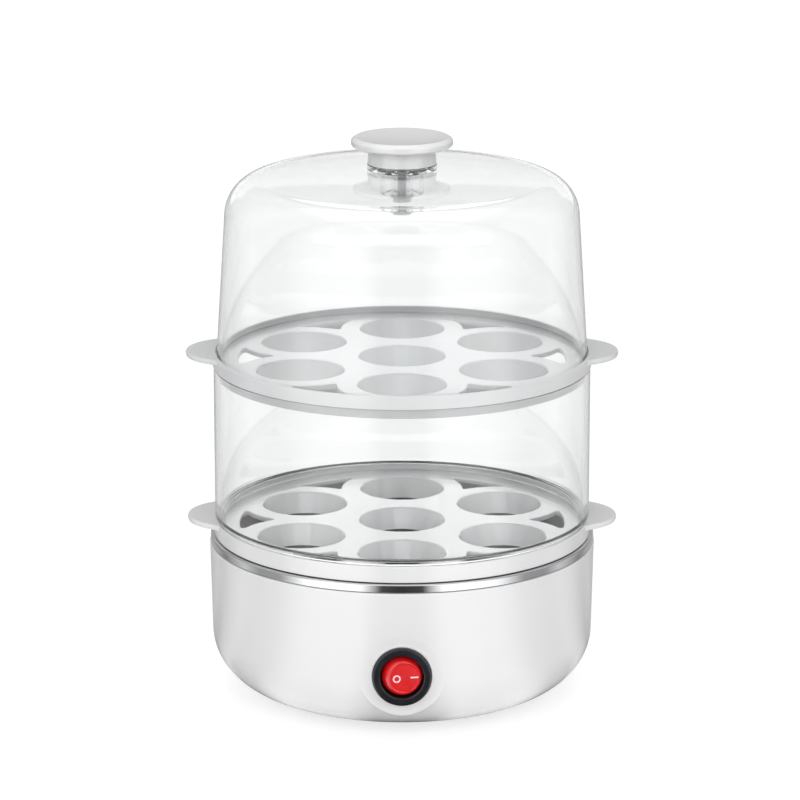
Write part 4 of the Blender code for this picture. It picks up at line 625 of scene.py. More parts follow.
def pad_tools(name, axes, radius, depth, hole_radius, flat_radius):
    """The round pad that stands out of the shell, and the pocket and the hole that are cut behind and in it.
    Rings on its face let it follow the wall."""

    def disc(end, level):
        start = flat_radius + PAD_STEP
        rings = [start + (end - start) * step / 4 for step in range(5)]
        return [(0, level), (flat_radius, level), *((ring, level) for ring in rings)]

    inner, floor = radius - SHELL_WALL, -PAD_POCKET_DEPTH
    outer = softened([*disc(radius - PAD_EDGE, 0), (radius, 0, PAD_EDGE), (radius, -depth), (0, -depth)])
    pocket = [*disc(inner, -PAD_PANEL), (inner, floor), (0, floor)]
    hole = [(0, 2), (hole_radius, 2), (hole_radius, -depth), (0, -depth)]
    lines = {"": outer, "_pocket": pocket, "_hole": hole}
    return [lathe(name + part, line, sides=MID_SIDES, axes=axes) for part, line in lines.items()]


def follow_wall(obj):
    """Lays the switch pad's face on the tapered wall, all but the flat middle that carries the bezel."""
    taper = (BODY_RADIUS - CORNER_CENTRE - CORNER_WIDTH) / (SHELL_TOP - CORNER_LEVEL)
    shape = bmesh.new()
    shape.from_mesh(obj.data)
    for vert in shape.verts:
        across, up, out = vert.co.x / MM, vert.co.z / MM - SWITCH_LEVEL, -vert.co.y / MM
        off_the_flat = math.hypot(across, up) > SWITCH_PAD_FLAT + PAD_STEP / 2
        if off_the_flat and out > SWITCH_PAD_FACE - PAD_FACE_DEPTH:
            reach = BODY_RADIUS - taper * (SHELL_TOP - SWITCH_LEVEL - up) + PAD_RELIEF
            vert.co.y += (SWITCH_PAD_FACE - math.sqrt(reach**2 - across**2)) * MM
    bmesh.ops.triangulate(shape, faces=[face for face in shape.faces if len(face.verts) == 4])
    shape.to_mesh(obj.data)
    shape.free()


def make_shell():
    squash = CORNER_HEIGHT / CORNER_WIDTH
    outer_end = math.acos((COVER_RECESS - CORNER_CENTRE) / CORNER_WIDTH)
    inner_width = CORNER_WIDTH - SHELL_WALL
    inner_height = CORNER_HEIGHT - SHELL_WALL
    inner_end = math.asin((CORNER_LEVEL - LEDGE_TOP) / inner_height)
    centre = (CORNER_CENTRE, CORNER_LEVEL)
    corners = [
        (BODY_RADIUS, SHELL_TOP, 0.5),
        *arc(centre, CORNER_WIDTH, 0, -outer_end, 24, squash),
        (COVER_RECESS, LEDGE_BOTTOM),
        (OPENING_RADIUS, LEDGE_BOTTOM),
        (OPENING_RADIUS, LEDGE_TOP, 0.4),
        *arc(centre, inner_width, -inner_end, 0, 12, inner_height / inner_width),
        (BODY_RADIUS - SHELL_WALL, SHELL_TOP, 0.4),
    ]
    shell = lathe("shell_moulding", softened(corners, 4), WHITE_PLASTIC)
    switch_sizes = (SWITCH_PAD, SWITCH_PAD_DEPTH, SWITCH_HOLE, SWITCH_PAD_FLAT)
    gland_sizes = (GLAND_PAD, GLAND_PAD_DEPTH, GLAND_HOLE, GLAND_PAD_FLAT)
    pads = (("switch_pad", SWITCH_AXES, switch_sizes), ("gland_pad", GLAND_AXES, gland_sizes))
    for name, axes, sizes in pads:
        pad, pocket, hole = pad_tools(name, in_metres(axes), *sizes)
        if name == "switch_pad":
            follow_wall(pad)
            follow_wall(pocket)
        combine(shell, "UNION", pad)
        combine(shell, "DIFFERENCE", pocket)
        combine(shell, "DIFFERENCE", hole)
    place(shell, "base", "white_plastic", "base_shell")


def make_pan():
    outside, bead_inside = PAN_MOUTH + PAN_SHEET, BEAD_RADIUS - PAN_SHEET
    underside, bead_under = PAN_FLOOR - PAN_SHEET, BEAD_TOP - PAN_SHEET
    corners = [
        (0, PAN_FLOOR),
        (PAN_MOUTH, PAN_FLOOR, PAN_CORNER),
        (PAN_MOUTH, BEAD_TOP, 0.9),
        (BEAD_RADIUS, BEAD_TOP, 1.0),
        (BEAD_RADIUS, BEAD_BOTTOM, 0.2),
        (bead_inside, BEAD_BOTTOM, 0.2),
        (bead_inside, bead_under, 0.9),
        (outside, bead_under, 0.3),
        (outside, underside, PAN_CORNER + PAN_SHEET),
        (0, underside),
    ]
    pan = lathe("pan_pressing", softened(corners, 8), POLISHED_STEEL, NON_STICK)
    coat_radius = (PAN_MOUTH + 0.3) * MM
    coat_bottom, coat_top = (PAN_FLOOR - PAN_SHEET / 2) * MM, (BEAD_TOP - 1.0) * MM
    for face in pan.data.polygons:
        middle = face.center
        coated = math.hypot(middle.x, middle.y) < coat_radius and coat_bottom < middle.z < coat_top
        face.material_index = 1 if coated else 0
    place(pan, "base", "pan_steel", "heating_pan")


def make_feet_and_screws():
    corners = [
        (0, 6.7), (PAD_FOOT_NECK, 6.7, 0.4), (3.1, 5.2, 0.2), (PAD_FOOT_NECK, 5.2),
        (PAD_FOOT_NECK, PAD_FOOT_TOP), (PAD_FOOT, PAD_FOOT_TOP, 0.3), (PAD_FOOT, 0, 0.9), (4.6, 0, 0.2),
        (4.2, PAD_FOOT_HOLLOW, 0.2), (0, PAD_FOOT_HOLLOW),
    ]
    foot = lathe("rubber_feet", softened(corners, 4), RUBBER, sides=SMALL_SIDES, centre=(FOOT_CIRCLE, 0))
    ringed(foot, 4, RUBBER, FOOT_ANGLE)
    feet = ("rubber_foot_1", "rubber_foot_2", "rubber_foot_3", "rubber_foot_4")
    place(foot, "base", "grey_rubber", *feet)
    corners = [
        (0, 13.2), (SCREW_RADIUS, 13.2, 0.5), (SCREW_RADIUS, 2.6), (SCREW_HEAD, 2.6, 0.15),
        (SCREW_HEAD, SCREW_HEAD_BOTTOM, 0.6), (0, SCREW_HEAD_BOTTOM),
    ]
    centre = (POST_CIRCLE, 0)
    screw = lathe("cover_screws", softened(corners, 4), ZINC_STEEL, sides=SMALL_SIDES, centre=centre)
    cross_cut(screw, centre, SCREW_HEAD_BOTTOM - 0.5, SCREW_HEAD_BOTTOM + 0.9)
    ringed(screw, 3, ZINC_STEEL, POST_ANGLE)
    place(screw, "base", "zinc_steel", "cover_screw_1", "cover_screw_2", "cover_screw_3")


def cross_cut(screw, centre, low, high):
    """A cross recess in the underside of a screw's head."""
    for along in (0, 1):
        layers = []
        for level, share in ((low, 1.0), (high, CROSS_TAPER)):
            reach, half = CROSS_REACH * share, CROSS_HALF
            outline = [(-reach, -half), (reach, -half), (reach, half), (-reach, half)]
            if along:
                outline = [(-y, x) for x, y in outline]
            layers.append(([(x + centre[0], y + centre[1]) for x, y in outline], level))
        combine(screw, "DIFFERENCE", stacked("cross_arm", layers))


def make_bottom_cover():
    edge = [(COVER_RADIUS, COVER_TOP, 0.2), (COVER_RADIUS, SHELL_BOTTOM, 0.5)]
    corners = [(0, COVER_TOP), *edge, (0, SHELL_BOTTOM)]
    cover = lathe("bottom_plate", softened(corners, 4), WHITE_PLASTIC, sides=160)
    low, high = SHELL_BOTTOM - 1, COVER_TOP + 1
    outline = [
        *arc((VENT_SLOT_PLACE + VENT_SLOT_HALF, 0), VENT_SLOT_END, -math.pi / 2, math.pi / 2, 8),
        *arc((VENT_SLOT_PLACE - VENT_SLOT_HALF, 0), VENT_SLOT_END, math.pi / 2, 3 * math.pi / 2, 8),
    ]
    wide = offset(outline, VENT_SLOT_FLARE)
    layers = [(wide, low), (wide, SHELL_BOTTOM), (outline, SHELL_BOTTOM + VENT_SLOT_FLARE), (outline, high)]
    for side in (0, math.pi):
        first_angle = side - VENT_SLOT_STEP * (VENT_SLOTS - 1) / 2
        slots = stacked("cover_slots", layers)
        combine(cover, "DIFFERENCE", ringed(slots, VENT_SLOTS, WHITE_PLASTIC, first_angle, VENT_SLOT_STEP))
    for name, radius, reach, count, angle in (
        ("screw_holes", SCREW_HOLE, POST_CIRCLE, 3, POST_ANGLE),
        ("foot_holes", FOOT_HOLE, FOOT_CIRCLE, 4, FOOT_ANGLE),
    ):
        hole = lathe(name, [(0, high), (radius, high), (radius, low), (0, low)], sides=32, centre=(reach, 0))
        combine(cover, "DIFFERENCE", ringed(hole, count, WHITE_PLASTIC, angle))
    place(cover, "base", "white_plastic", "bottom_cover")


def make_gland():
    corners = [
        (BUSH_BORE, BUSH_FACE, 0.5), (5.0, BUSH_FACE, 0.5), (5.5, 2.2, 0.2), (BUSH_COLLAR, 1.3, 0.4),
        (BUSH_COLLAR, 0.3, 0.2), (BUSH_NECK, 0.3), (BUSH_NECK, -2.5), (BUSH_NECK + 1.0, -2.5, 0.2),
        (BUSH_NECK, BUSH_END, 0.3), (BUSH_BORE, BUSH_END, 0.3),
    ]
    gland = lathe("cord_bush", softened(corners, 5), RUBBER, sides=72, axes=in_metres(GLAND_AXES))
    place(gland, "base", "grey_rubber", "cord_gland")


# The two trays


def vent_outline():
    """A curved triangle between two seats: its outer side follows the rim, the others follow the seats."""
    spread_angle = math.pi / SEATS_ROUND
    seat = (SEAT_CIRCLE * math.cos(spread_angle), SEAT_CIRCLE * math.sin(spread_angle))
    outer, reach = VENT_OUTER, VENT_SIDE
    cosine = (outer**2 + SEAT_CIRCLE**2 - reach**2) / (2 * outer * SEAT_CIRCLE)
    half_angle = spread_angle - math.acos(cosine)
    corner = (outer * math.cos(half_angle), outer * math.sin(half_angle))
    tip = seat[0] + math.sqrt(reach**2 - seat[1] ** 2)
    start = math.atan2(-seat[1], tip - seat[0])
    end = math.atan2(corner[1] - seat[1], corner[0] - seat[0])
    side = arc(seat, reach, start, end, 10)
    # The corner's rounding takes up the last stretch but one
    del side[-2]
    rim = arc((0, 0), outer, half_angle, -half_angle, 8)
    mirrored = [(x, -y) for x, y in reversed(side)]
    sharp = [*side[:-1], *rim[:-1], *mirrored[:-1]]
    corners = {0, len(side) - 1, len(side) + len(rim) - 2}
    rounded = softened([(*point, 1.0 if n in corners else 0) for n, point in enumerate(sharp)], 4)
    return [tuple(point) for point in rounded]


def ear_outline(inset):
    """An ear's outline, from inside the rim's wall over a fillet to the tip and back, taken in that far."""
    wall = (RIM_INNER + TRAY_RADIUS) / 2
    tip_centre = EAR_TIP_REACH - EAR_TIP_RADIUS
    to_fillet = wall + EAR_FILLET
    between = EAR_TIP_RADIUS + EAR_FILLET
    across = (to_fillet**2 - between**2 + tip_centre**2) / (2 * tip_centre)
    along = math.sqrt(to_fillet**2 - across**2)
    root_angle = math.atan2(along, across)
    meet_angle = math.atan2(along, across - tip_centre)
    fillet = arc((across, along), EAR_FILLET + inset, root_angle + math.pi, meet_angle + math.pi, 12)
    tip = arc((tip_centre, 0), EAR_TIP_RADIUS - inset, meet_angle, 0, 16)
    half = [*fillet, *tip[1:]]
    inner = arc((0, 0), wall - inset, -root_angle, root_angle, 12)
    return half + [(x, -y) for x, y in reversed(half[:-1])] + inner[1:-1]


def ear(top):
    """One ear with a round edge."""
    layers = []
    for step in range(7):
        angle = math.pi * step / 6 - math.pi / 2
        level = top - EAR_THICKNESS / 2 + math.sin(angle) * EAR_THICKNESS / 2
        layers.append((ear_outline(EAR_EDGE * (1 - math.cos(angle))), level))
    return stacked("ear", layers)


def make_tray(node, bottom, rim_height, material, slot):
    """Rim, sunk floor, locating skirt, seven seats with flared mouths and collars, six vents and two ears.
    Each tray is its own body, so the body has the node's name."""
    top = bottom + rim_height
    floor_top = top - RECESS_DEPTH
    floor_bottom = floor_top - TRAY_FLOOR
    low = floor_top - COLLAR_DEPTH
    corners = [
        (0, floor_top),
        (RIM_INNER, floor_top, 0.35),
        (RIM_INNER, top, 0.35),
        (TRAY_RADIUS, top, 0.55),
        (TRAY_RADIUS, bottom, 0.45),
        (SKIRT_RADIUS, bottom, 0.15),
        (SKIRT_RADIUS, bottom - SKIRT_DEPTH, 0.3),
        (SKIRT_INNER, bottom - SKIRT_DEPTH, 0.3),
        (SKIRT_INNER, floor_bottom, 0.4),
        (0, floor_bottom),
    ]
    tray = lathe(node + "_moulding", softened(corners, 4), material)
    combine(tray, "UNION", ringed(ear(top - EAR_DROP), 2, material))
    root = floor_bottom + 0.9
    collar_corners = [(0, root), (COLLAR_RADIUS, root), (COLLAR_RADIUS - COLLAR_TAPER, low, 0.5), (0, low)]
    flare_top = floor_top + FLARE_OVERRUN
    bore_corners = [
        (0, floor_top + 2), (SEAT_RADIUS + SEAT_FLARE + 0.4, floor_top + 2),
        *arc((SEAT_RADIUS + SEAT_FLARE, flare_top - SEAT_FLARE), SEAT_FLARE, math.pi / 2, math.pi, 6),
        (SEAT_RADIUS - COLLAR_TAPER, low), (SEAT_RADIUS - COLLAR_TAPER, low - 2), (0, low - 2),
    ]
    for corners, operation in ((collar_corners, "UNION"), (bore_corners, "DIFFERENCE")):
        middle = lathe("seat_middle", softened(corners, 4), material, sides=MID_SIDES, phase=CUTTER_PHASE)
        around = lathe("seats_around", softened(corners, 4), material, sides=MID_SIDES,
                       centre=(0, SEAT_CIRCLE), phase=CUTTER_PHASE)
        combine(tray, operation, middle, ringed(around, SEATS_ROUND, material))
    outline = vent_outline()
    layers = [(outline, floor_bottom - 2), (outline, flare_top - VENT_FLARE)]
    for step in range(1, 5):
        angle = math.pi / 2 * step / 4
        wider = offset(outline, VENT_FLARE * (1 - math.cos(angle)))
        layers.append((wider, flare_top - VENT_FLARE * (1 - math.sin(angle))))
    layers.append((offset(outline, VENT_FLARE + 0.4), floor_top + 2))
    combine(tray, "DIFFERENCE", ringed(stacked("vents", layers), SEATS_ROUND, material))
    place(tray, node, slot, node)


# Clear pieces and knob


def make_middle_ring():
    inner = RING_RADIUS - RING_WALL
    corners = [
        (RING_RADIUS, RING_TOP, 0.35),
        (RING_RADIUS, RING_NECK, 0.7),
        (CLEAR_FOOT, RING_NECK, 0.4),
        (CLEAR_FOOT, RING_BOTTOM, 0.7),
        (CLEAR_FOOT - RING_WALL, RING_BOTTOM, 0.5),
        (CLEAR_FOOT - RING_WALL, RING_NECK + 0.9, 0.8),
        (inner, RING_NECK + 2.1, 0.8),
        (inner, RING_TOP, 0.35),
    ]
    ring = lathe("ring_wall", softened(corners, 5), CLEAR_PLASTIC)
    place(ring, "middle_ring", "clear_plastic", "middle_ring")


def dome_line(inset):
    """The dome's outer line from its axis to its shoulder, or the line that far inside it."""
    centre = (DOME_SHOULDER_RADIUS - DOME_CORNER, DOME_SHOULDER - DOME_CORNER)
    reach = centre[0] + DOME_CORNER * math.cos(DOME_SWEEP)
    start = centre[1] + DOME_CORNER * math.sin(DOME_SWEEP)
    crown_steps = 12
    crown = []
    for step in range(crown_steps):
        share = step / crown_steps
        crown.append((reach * share, start + DOME_CROWN_RISE * (1 - share**DOME_CROWN_POWER) - inset))
    return crown + arc(centre, DOME_CORNER - inset, DOME_SWEEP, 0, 16)


def make_dome():
    outer, inner = dome_line(0), dome_line(DOME_WALL)
    loop = [
        *outer,
        (CLEAR_FOOT, DOME_BOTTOM, 0.7),
        (CLEAR_FOOT - DOME_WALL, DOME_BOTTOM, 0.5),
        *reversed(inner),
    ]
    dome = lathe("dome_wall", softened(loop, 5), CLEAR_PLASTIC)
    inside = DOME_CROWN - DOME_WALL
    post_corners = [
        (0, KNOB_PAD_TOP), (KNOB_PAD, KNOB_PAD_TOP, 0.2), (KNOB_PAD, DOME_CROWN - 1.0),
        (KNOB_POST + 1.2, inside, 0.8), (KNOB_POST, inside - 1.0, 0.8),
        (KNOB_POST, KNOB_POST_END, 0.5), (0, KNOB_POST_END),
    ]
    combine(dome, "UNION", lathe("knob_post", softened(post_corners, 5), sides=MID_SIDES))
    bore, low, high = SCREW_BORE, KNOB_POST_END - 2, KNOB_PAD_TOP + 2
    hollow_inner, hollow_outer, roof = KNOB_POST + 1.4, KNOB_PAD - 1.3, KNOB_PAD_TOP - 1.0
    for name, corners, sides in (
        ("post_groove", [(4.2, inside), (7.0, inside), (7.0, low), (4.2, low)], MID_SIDES),
        ("pad_hollow", [
            (hollow_inner, roof), (hollow_outer, roof), (hollow_outer, KNOB_POST_END),
            (hollow_inner, KNOB_POST_END),
        ], MID_SIDES),
        ("post_bore", [(0, high), (bore, high), (bore, low), (0, low)], SMALL_SIDES),
    ):
        combine(dome, "DIFFERENCE", lathe(name, corners, sides=sides))
    place(dome, "lid", "clear_plastic", "lid_dome")


def make_knob():
    neck = KNOB_PAD - 0.2
    dish = []
    for share in (0, 0.15, 0.3, 0.45, 0.6, 0.75, 0.88):
        dish.append((KNOB_RADIUS * 0.9 * share, KNOB_TOP - KNOB_DISH * (1 - share**2)))
    corners = [
        *dish,
        (KNOB_RADIUS - 1.7, KNOB_TOP, 0.6),
        (KNOB_RADIUS, KNOB_TOP - 1.1, 1.2),
        (KNOB_RADIUS, KNOB_DISC + 0.9, 0.9),
        (KNOB_RADIUS - 1.6, KNOB_DISC, 0.6),
        (neck, KNOB_DISC, 0.9),
        (neck, KNOB_SEAT, 0.12),
        (SCREW_BORE, KNOB_SEAT, 0.2),
        (SCREW_BORE, KNOB_SOCKET_TOP),
        (0, KNOB_SOCKET_TOP),
    ]
    knob = lathe("knob_moulding", softened(corners, 5), WHITE_PLASTIC, sides=128)
    place(knob, "lid", "white_plastic", "lid_knob")
    washer_top = KNOB_POST_END - 0.3
    washer_bottom = washer_top - WASHER_THICKNESS
    corners = [
        (SCREW_BORE, washer_top, 0.1), (WASHER_RADIUS, washer_top, 0.25),
        (WASHER_RADIUS, washer_bottom, 0.25), (SCREW_BORE, washer_bottom, 0.1),
    ]
    washer = lathe("screw_washer", softened(corners, 4), SILICONE, sides=64)
    place(washer, "lid", "silicone", "knob_washer")
    head_top = washer_top - 1.1
    head_bottom = head_top - FIXING_HEAD_HEIGHT
    tip = KNOB_BOTTOM + 6.0
    corners = [
        (0, tip), (FIXING_RADIUS, tip, 0.5), (FIXING_RADIUS, head_top), (FIXING_HEAD, head_top, 0.2),
        (FIXING_HEAD, head_bottom, 1.0), (0, head_bottom),
    ]
    screw = lathe("knob_fixing", softened(corners, 5), ZINC_STEEL, sides=64)
    cross_cut(screw, (0, 0), head_top - 3.2, head_top - 0.9)
    place(screw, "lid", "zinc_steel", "knob_screw")


# Pieces of the switch


def make_switch_body():
    body_corners = [
        (0, SWITCH_FLOOR),
        (ROCKER_BORE, SWITCH_FLOOR, 0.3),
        (ROCKER_BORE, BEZEL_TOP, 0.7),
        (BEZEL_RADIUS, BEZEL_TOP, 1.1),
        (BEZEL_RADIUS, BEZEL_FOOT, 0.25),
        (BARREL_RADIUS, BEZEL_FOOT),
        (BARREL_RADIUS, -SWITCH_DEPTH, 0.4),
        (0, -SWITCH_DEPTH),
    ]
    axes = in_metres(SWITCH_AXES)
    body = lathe("switch_bezel", softened(body_corners, 6), BLACK_NYLON, sides=128, axes=axes)
    half, end = TERMINAL_SLOT_HALF
    for across in (-TERMINAL_SPACING, 0, TERMINAL_SPACING):
        outline = [(across - half, -end), (across + half, -end), (across + half, end), (across - half, end)]
        slot = stacked("terminal_slot", [(outline, -SWITCH_DEPTH - 1), (outline, SWITCH_FLOOR + 1)])
        slot.data.transform(axes)
        combine(body, "DIFFERENCE", slot)
    place(body, "base", "black_nylon", "switch_body")


def make_rocker():
    """The rocker, with its two marks and its grip dots, at the tilt that it has at rest."""
    axes = in_metres(ROCKER_AXES)
    face_level = ROCKER_FACE - ROCKER_DISH
    face_radius = math.sqrt(ROCKER_RADIUS**2 - ROCKER_FACE**2)
    start = math.atan2(ROCKER_FACE, face_radius)
    end = -math.asin(ROCKER_SKIRT / ROCKER_RADIUS)
    inner_start = -math.asin(ROCKER_SKIRT / ROCKER_INNER)
    inner_end = math.asin(ROCKER_CEILING / ROCKER_INNER)
    corners = [
        (0, face_level),
        (face_radius - 0.85, face_level, 0.15),
        (face_radius - 0.7, ROCKER_FACE + 0.15, 0.1),
        (face_radius - 0.3, ROCKER_FACE + 0.2, 0.15),
        *arc((0, 0), ROCKER_RADIUS, start - 0.03, end, 14),
        *arc((0, 0), ROCKER_INNER, inner_start, inner_end, 10),
        (SOCKET_OUTER, ROCKER_CEILING),
        (SOCKET_OUTER, SOCKET_END, 0.2),
        (SOCKET_BORE, SOCKET_END, 0.2),
        (SOCKET_BORE, SOCKET_TOP),
        (0, SOCKET_TOP),
    ]
    rocker = lathe("rocker_moulding", softened(corners, 4), RED_PLASTIC, sides=MID_SIDES, axes=axes)
    root, top = face_level - MARK_ROOT, face_level + MARK_RISE
    inner, outer = OFF_MARK_INNER, OFF_MARK_OUTER
    line = softened([(inner, root), (inner, top, 0.08), (outer, top, 0.08), (outer, root)], 3)
    ring = lathe("off_mark", line, WHITE_MARK, sides=SMALL_SIDES, centre=OFF_MARK_CENTRE, axes=axes)
    start, end, half = ON_MARK_START, ON_MARK_END, ON_MARK_HALF
    outline = softened([(start, -half, 0.2), (end, -half, 0.2), (end, half, 0.2), (start, half, 0.2)], 4)
    edge = MARK_RISE / 2
    layers = [(outline, root), (outline, face_level + edge), (offset(outline, -edge), top)]
    dash = stacked("on_mark", layers, WHITE_MARK)
    dash.data.transform(axes)
    half_dot = GRIP_DOT / 2
    line = [(0, GRIP_RISE), (half_dot * 0.6, GRIP_RISE * 0.75), (half_dot, -0.03), (0, -0.03)]
    dots = lathe("grip_dots", line, RED_PLASTIC, sides=8)
    grip_radius = (face_radius - GRIP_MARGIN) * MM
    sizes = {"Rows": GRIP_ROWS, "Pitch": GRIP_PITCH * MM, "Disc radius": grip_radius}
    repeated(dots, GRIP_TREE, sizes, RED_PLASTIC)
    dots.data.transform(axes @ Matrix.Translation((0, 0, face_level * MM)))
    place(rocker, "rocker", "red_rocker", "switch_rocker")
    for detail in (ring, dash, dots):
        crisp(detail)
        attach(detail, "rocker")


# Inner pieces, which keep the frame's own shapes


INNER_FINISHES = {
    SILICONE: ("pan_seal",),
    CAST_ALUMINIUM: ("heat_diffuser",),
    SHEATH_STEEL: ("heater_element",),
    ZINC_STEEL: ("clamp_plate", "tie_post_1", "tie_post_2", "tie_post_3", "fuse_clip"),
    CERAMIC: ("element_terminal_1", "element_terminal_2", "thermostat", "terminal_block"),
    FUSE_SLEEVE: ("thermal_fuse",),
    TINNED_BRASS: ("terminal_common", "terminal_load", "terminal_lamp", "contact_bar"),
    SPRING_STEEL: ("switch_spring",),
    BLACK_NYLON: ("switch_plunger",),
    LAMP_GLASS: ("neon_lamp",),
    LIVE_WIRE: ("wire_live", "wire_switched", "wire_element"),
    NEUTRAL_WIRE: ("wire_neutral", "wire_fuse", "wire_lamp"),
    EARTH_WIRE: ("wire_earth",),
}


def dress_inner_pieces():
    for material, nodes in INNER_FINISHES.items():
        for node in nodes:
            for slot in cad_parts[node].material_slots:
                slot.material = material


# Floor, light and camera


def shade_by_ray(tree, lighting, seen, mirrored):
    """One shader for the light that it gives, one for where it is seen, also through clear pieces, and one
    for what gloss and metal reflect."""
    path = add(tree, "ShaderNodeLightPath").outputs
    kinds = {0: path["Is Camera Ray"], 1: path["Is Transmission Ray"]}
    straight = add(tree, "ShaderNodeMath", kinds, operation="MAXIMUM")
    kinds = {0: path["Is Glossy Ray"], 1: path["Is Transmission Ray"]}
    in_gloss = add(tree, "ShaderNodeMath", kinds, operation="SUBTRACT", use_clamp=True)
    plain = add(tree, "ShaderNodeMixShader", {"Fac": straight, 1: lighting, 2: seen})
    return add(tree, "ShaderNodeMixShader", {"Fac": in_gloss, 1: plain, 2: mirrored})


def studio_tones(tree, direction, near_gain=1.0):
    """The studio's tone in a direction. The gain moves the tones of the floor close by further round."""
    unit = add(tree, "ShaderNodeVectorMath", {0: direction}, operation="NORMALIZE")
    parts = add(tree, "ShaderNodeSeparateXYZ", {"Vector": unit})
    forward = add(tree, "ShaderNodeMath", {0: parts.outputs["Y"]}, {1: -1.0}, operation="MULTIPLY")
    angle = add(tree, "ShaderNodeMath", {0: parts.outputs["X"], 1: forward}, operation="ARCTAN2")
    share = add(tree, "ShaderNodeMath", {0: angle}, {1: 1 / math.pi}, operation="MULTIPLY")
    size = add(tree, "ShaderNodeMath", {0: share}, operation="ABSOLUTE")
    distance = add(tree, "ShaderNodeVectorMath", {0: direction}, operation="LENGTH")
    reach = {"From Min": 0.2, "From Max": 1.5, "To Min": near_gain, "To Max": 1.0}
    gain = add(tree, "ShaderNodeMapRange", {"Value": distance.outputs["Value"]}, reach)
    turned = add(tree, "ShaderNodeMath", {0: size, 1: gain}, operation="MULTIPLY")
    ramp = add(tree, "ShaderNodeValToRGB", {"Fac": turned})
    stops = ramp.color_ramp.elements
    while len(stops) > 1:
        stops.remove(stops[-1])
    for number, (at, tone) in enumerate(STUDIO_TONES):
        stop = stops[0] if number == 0 else stops.new(at)
        stop.position = at
        stop.color = (tone, tone, tone, 1)
    height = add(tree, "ShaderNodeMath", {0: parts.outputs["Z"]}, operation="ABSOLUTE")
    steep = {"From Min": 0.72, "From Max": 0.97, "To Min": 0.0, "To Max": 1.0}
    above = add(tree, "ShaderNodeMapRange", {"Value": height}, steep, interpolation_type="SMOOTHSTEP")
    links = {0: above, MIX_FIRST: ramp}
    ceiling = {MIX_SECOND: (STUDIO_CEILING, STUDIO_CEILING, STUDIO_CEILING, 1)}
    return add(tree, "ShaderNodeMix", links, ceiling, data_type="RGBA").outputs[MIX_RESULT]


def make_world():
    """Plain white to the eye, even light for pale surfaces, and the studio's tones for gloss and metal."""
    world = bpy.data.worlds.new("soft_white_studio")
    bpy.context.scene.world = world
    world.use_nodes = True
    tree = world.node_tree
    tree.nodes.clear()
    tones = studio_tones(tree, add(tree, "ShaderNodeTexCoord").outputs["Generated"])
    light = add(tree, "ShaderNodeBackground", (), {"Color": (1, 1, 1, 1), "Strength": ROOM_LIGHT})
    mirrored = add(tree, "ShaderNodeBackground", {"Color": tones}, {"Strength": 1.0})
    white = add(tree, "ShaderNodeBackground", (), {"Color": (1, 1, 1, 1), "Strength": 1.0})
    surface = shade_by_ray(tree, light, white, mirrored)
    add(tree, "ShaderNodeOutputWorld", {"Surface": surface})


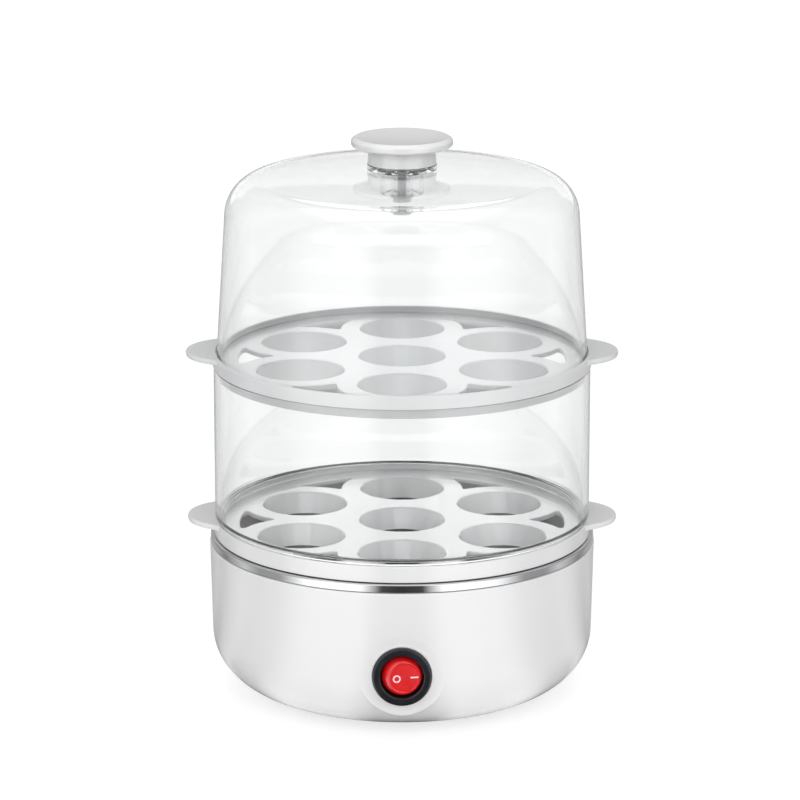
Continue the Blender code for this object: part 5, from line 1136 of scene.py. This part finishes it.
def make_floor():
    """White paper that keeps the cooker's shadow, and shows gloss and metal the studio's tones with a
    painted shadow under the base.
    """
    shape = bmesh.new()
    bmesh.ops.create_circle(shape, cap_ends=True, segments=MID_SIDES, radius=FLOOR_RADIUS)
    floor = as_object("studio_floor", shape)
    if floor.data.polygons[0].normal.z < 0:
        floor.data.flip_normals()
    floor.location.z = -FLOOR_GAP
    made = bpy.data.materials.new("white_paper_sweep")
    made.use_nodes = True
    tree = made.node_tree
    tree.nodes.clear()
    position = add(tree, "ShaderNodeTexCoord").outputs["Object"]
    greys = [(tone, tone, tone, 1) for tone in (FLOOR_TONE, FLOOR_SEEN)]
    paper, shaded = [add(tree, "ShaderNodeBsdfDiffuse", (), {"Color": grey}) for grey in greys]
    glow = add(tree, "ShaderNodeEmission", (), {"Color": (1, 1, 1, 1), "Strength": FLOOR_GLOW})
    lit = add(tree, "ShaderNodeAddShader", {0: shaded, 1: glow})
    tones = studio_tones(tree, position, FLOOR_GAIN)
    distance = add(tree, "ShaderNodeVectorMath", {0: position}, operation="LENGTH").outputs["Value"]
    # Painted shadow: the glow that gloss and metal see in the floor is dimmed near the axis, under the base;
    # the diffuse half takes the real shadow
    level = add(tree, "ShaderNodeMapRange", {"Value": distance}, PAINTED_SHADOW_UNDER_BASE)
    mirror_glow_with_painted_shadow = add(tree, "ShaderNodeEmission", {"Color": tones, "Strength": level})
    shadowed = add(tree, "ShaderNodeBsdfDiffuse", {"Color": tones})
    mirrored = add(tree, "ShaderNodeMixShader", {1: mirror_glow_with_painted_shadow, 2: shadowed}, {"Fac": 0.5})
    surface = shade_by_ray(tree, paper, lit, mirrored)
    add(tree, "ShaderNodeOutputMaterial", {"Surface": surface})
    floor.data.materials.append(made)


def aimed(place_at, target):
    """The turn that points a lamp or the camera at its target."""
    return (Vector(target) - Vector(place_at)).to_track_quat("-Z", "Y").to_euler()


def make_lamps():
    for name, (place_at, height, size, watts) in SOFTBOXES.items():
        data = bpy.data.lights.new(name, "AREA")
        data.shape = "RECTANGLE"
        data.size, data.size_y = size
        data.energy = watts
        lamp = bpy.data.objects.new(name, data)
        lamp.location = place_at
        lamp.rotation_euler = aimed(place_at, (0, 0, height))
        lamp.visible_glossy = False
        bpy.context.scene.collection.objects.link(lamp)


def make_camera():
    """The photograph's view, from in front and about 15 degrees above."""
    data = bpy.data.cameras.new("camera")
    data.lens = CAMERA_LENS
    data.sensor_width = 36
    data.shift_x = CAMERA_SHIFT
    camera = bpy.data.objects.new("camera", data)
    camera.location = CAMERA_PLACE
    camera.rotation_euler = aimed(CAMERA_PLACE, CAMERA_AIM)
    bpy.context.scene.collection.objects.link(camera)
    bpy.context.scene.camera = camera


make_camera()
make_world()
make_floor()
make_lamps()
bpy.context.scene.view_settings.view_transform = "Standard"

dress_inner_pieces()
make_shell()
make_pan()
make_bottom_cover()
make_feet_and_screws()
make_gland()
make_tray("lower_tray", LOWER_TRAY_BOTTOM, LOWER_RIM_HEIGHT, WHITE_PLASTIC, "white_plastic")
make_middle_ring()
make_tray("upper_tray", UPPER_TRAY_BOTTOM, UPPER_RIM_HEIGHT, FROSTED_PLASTIC, "frosted_plastic")
make_dome()
make_knob()
make_switch_body()
make_rocker()
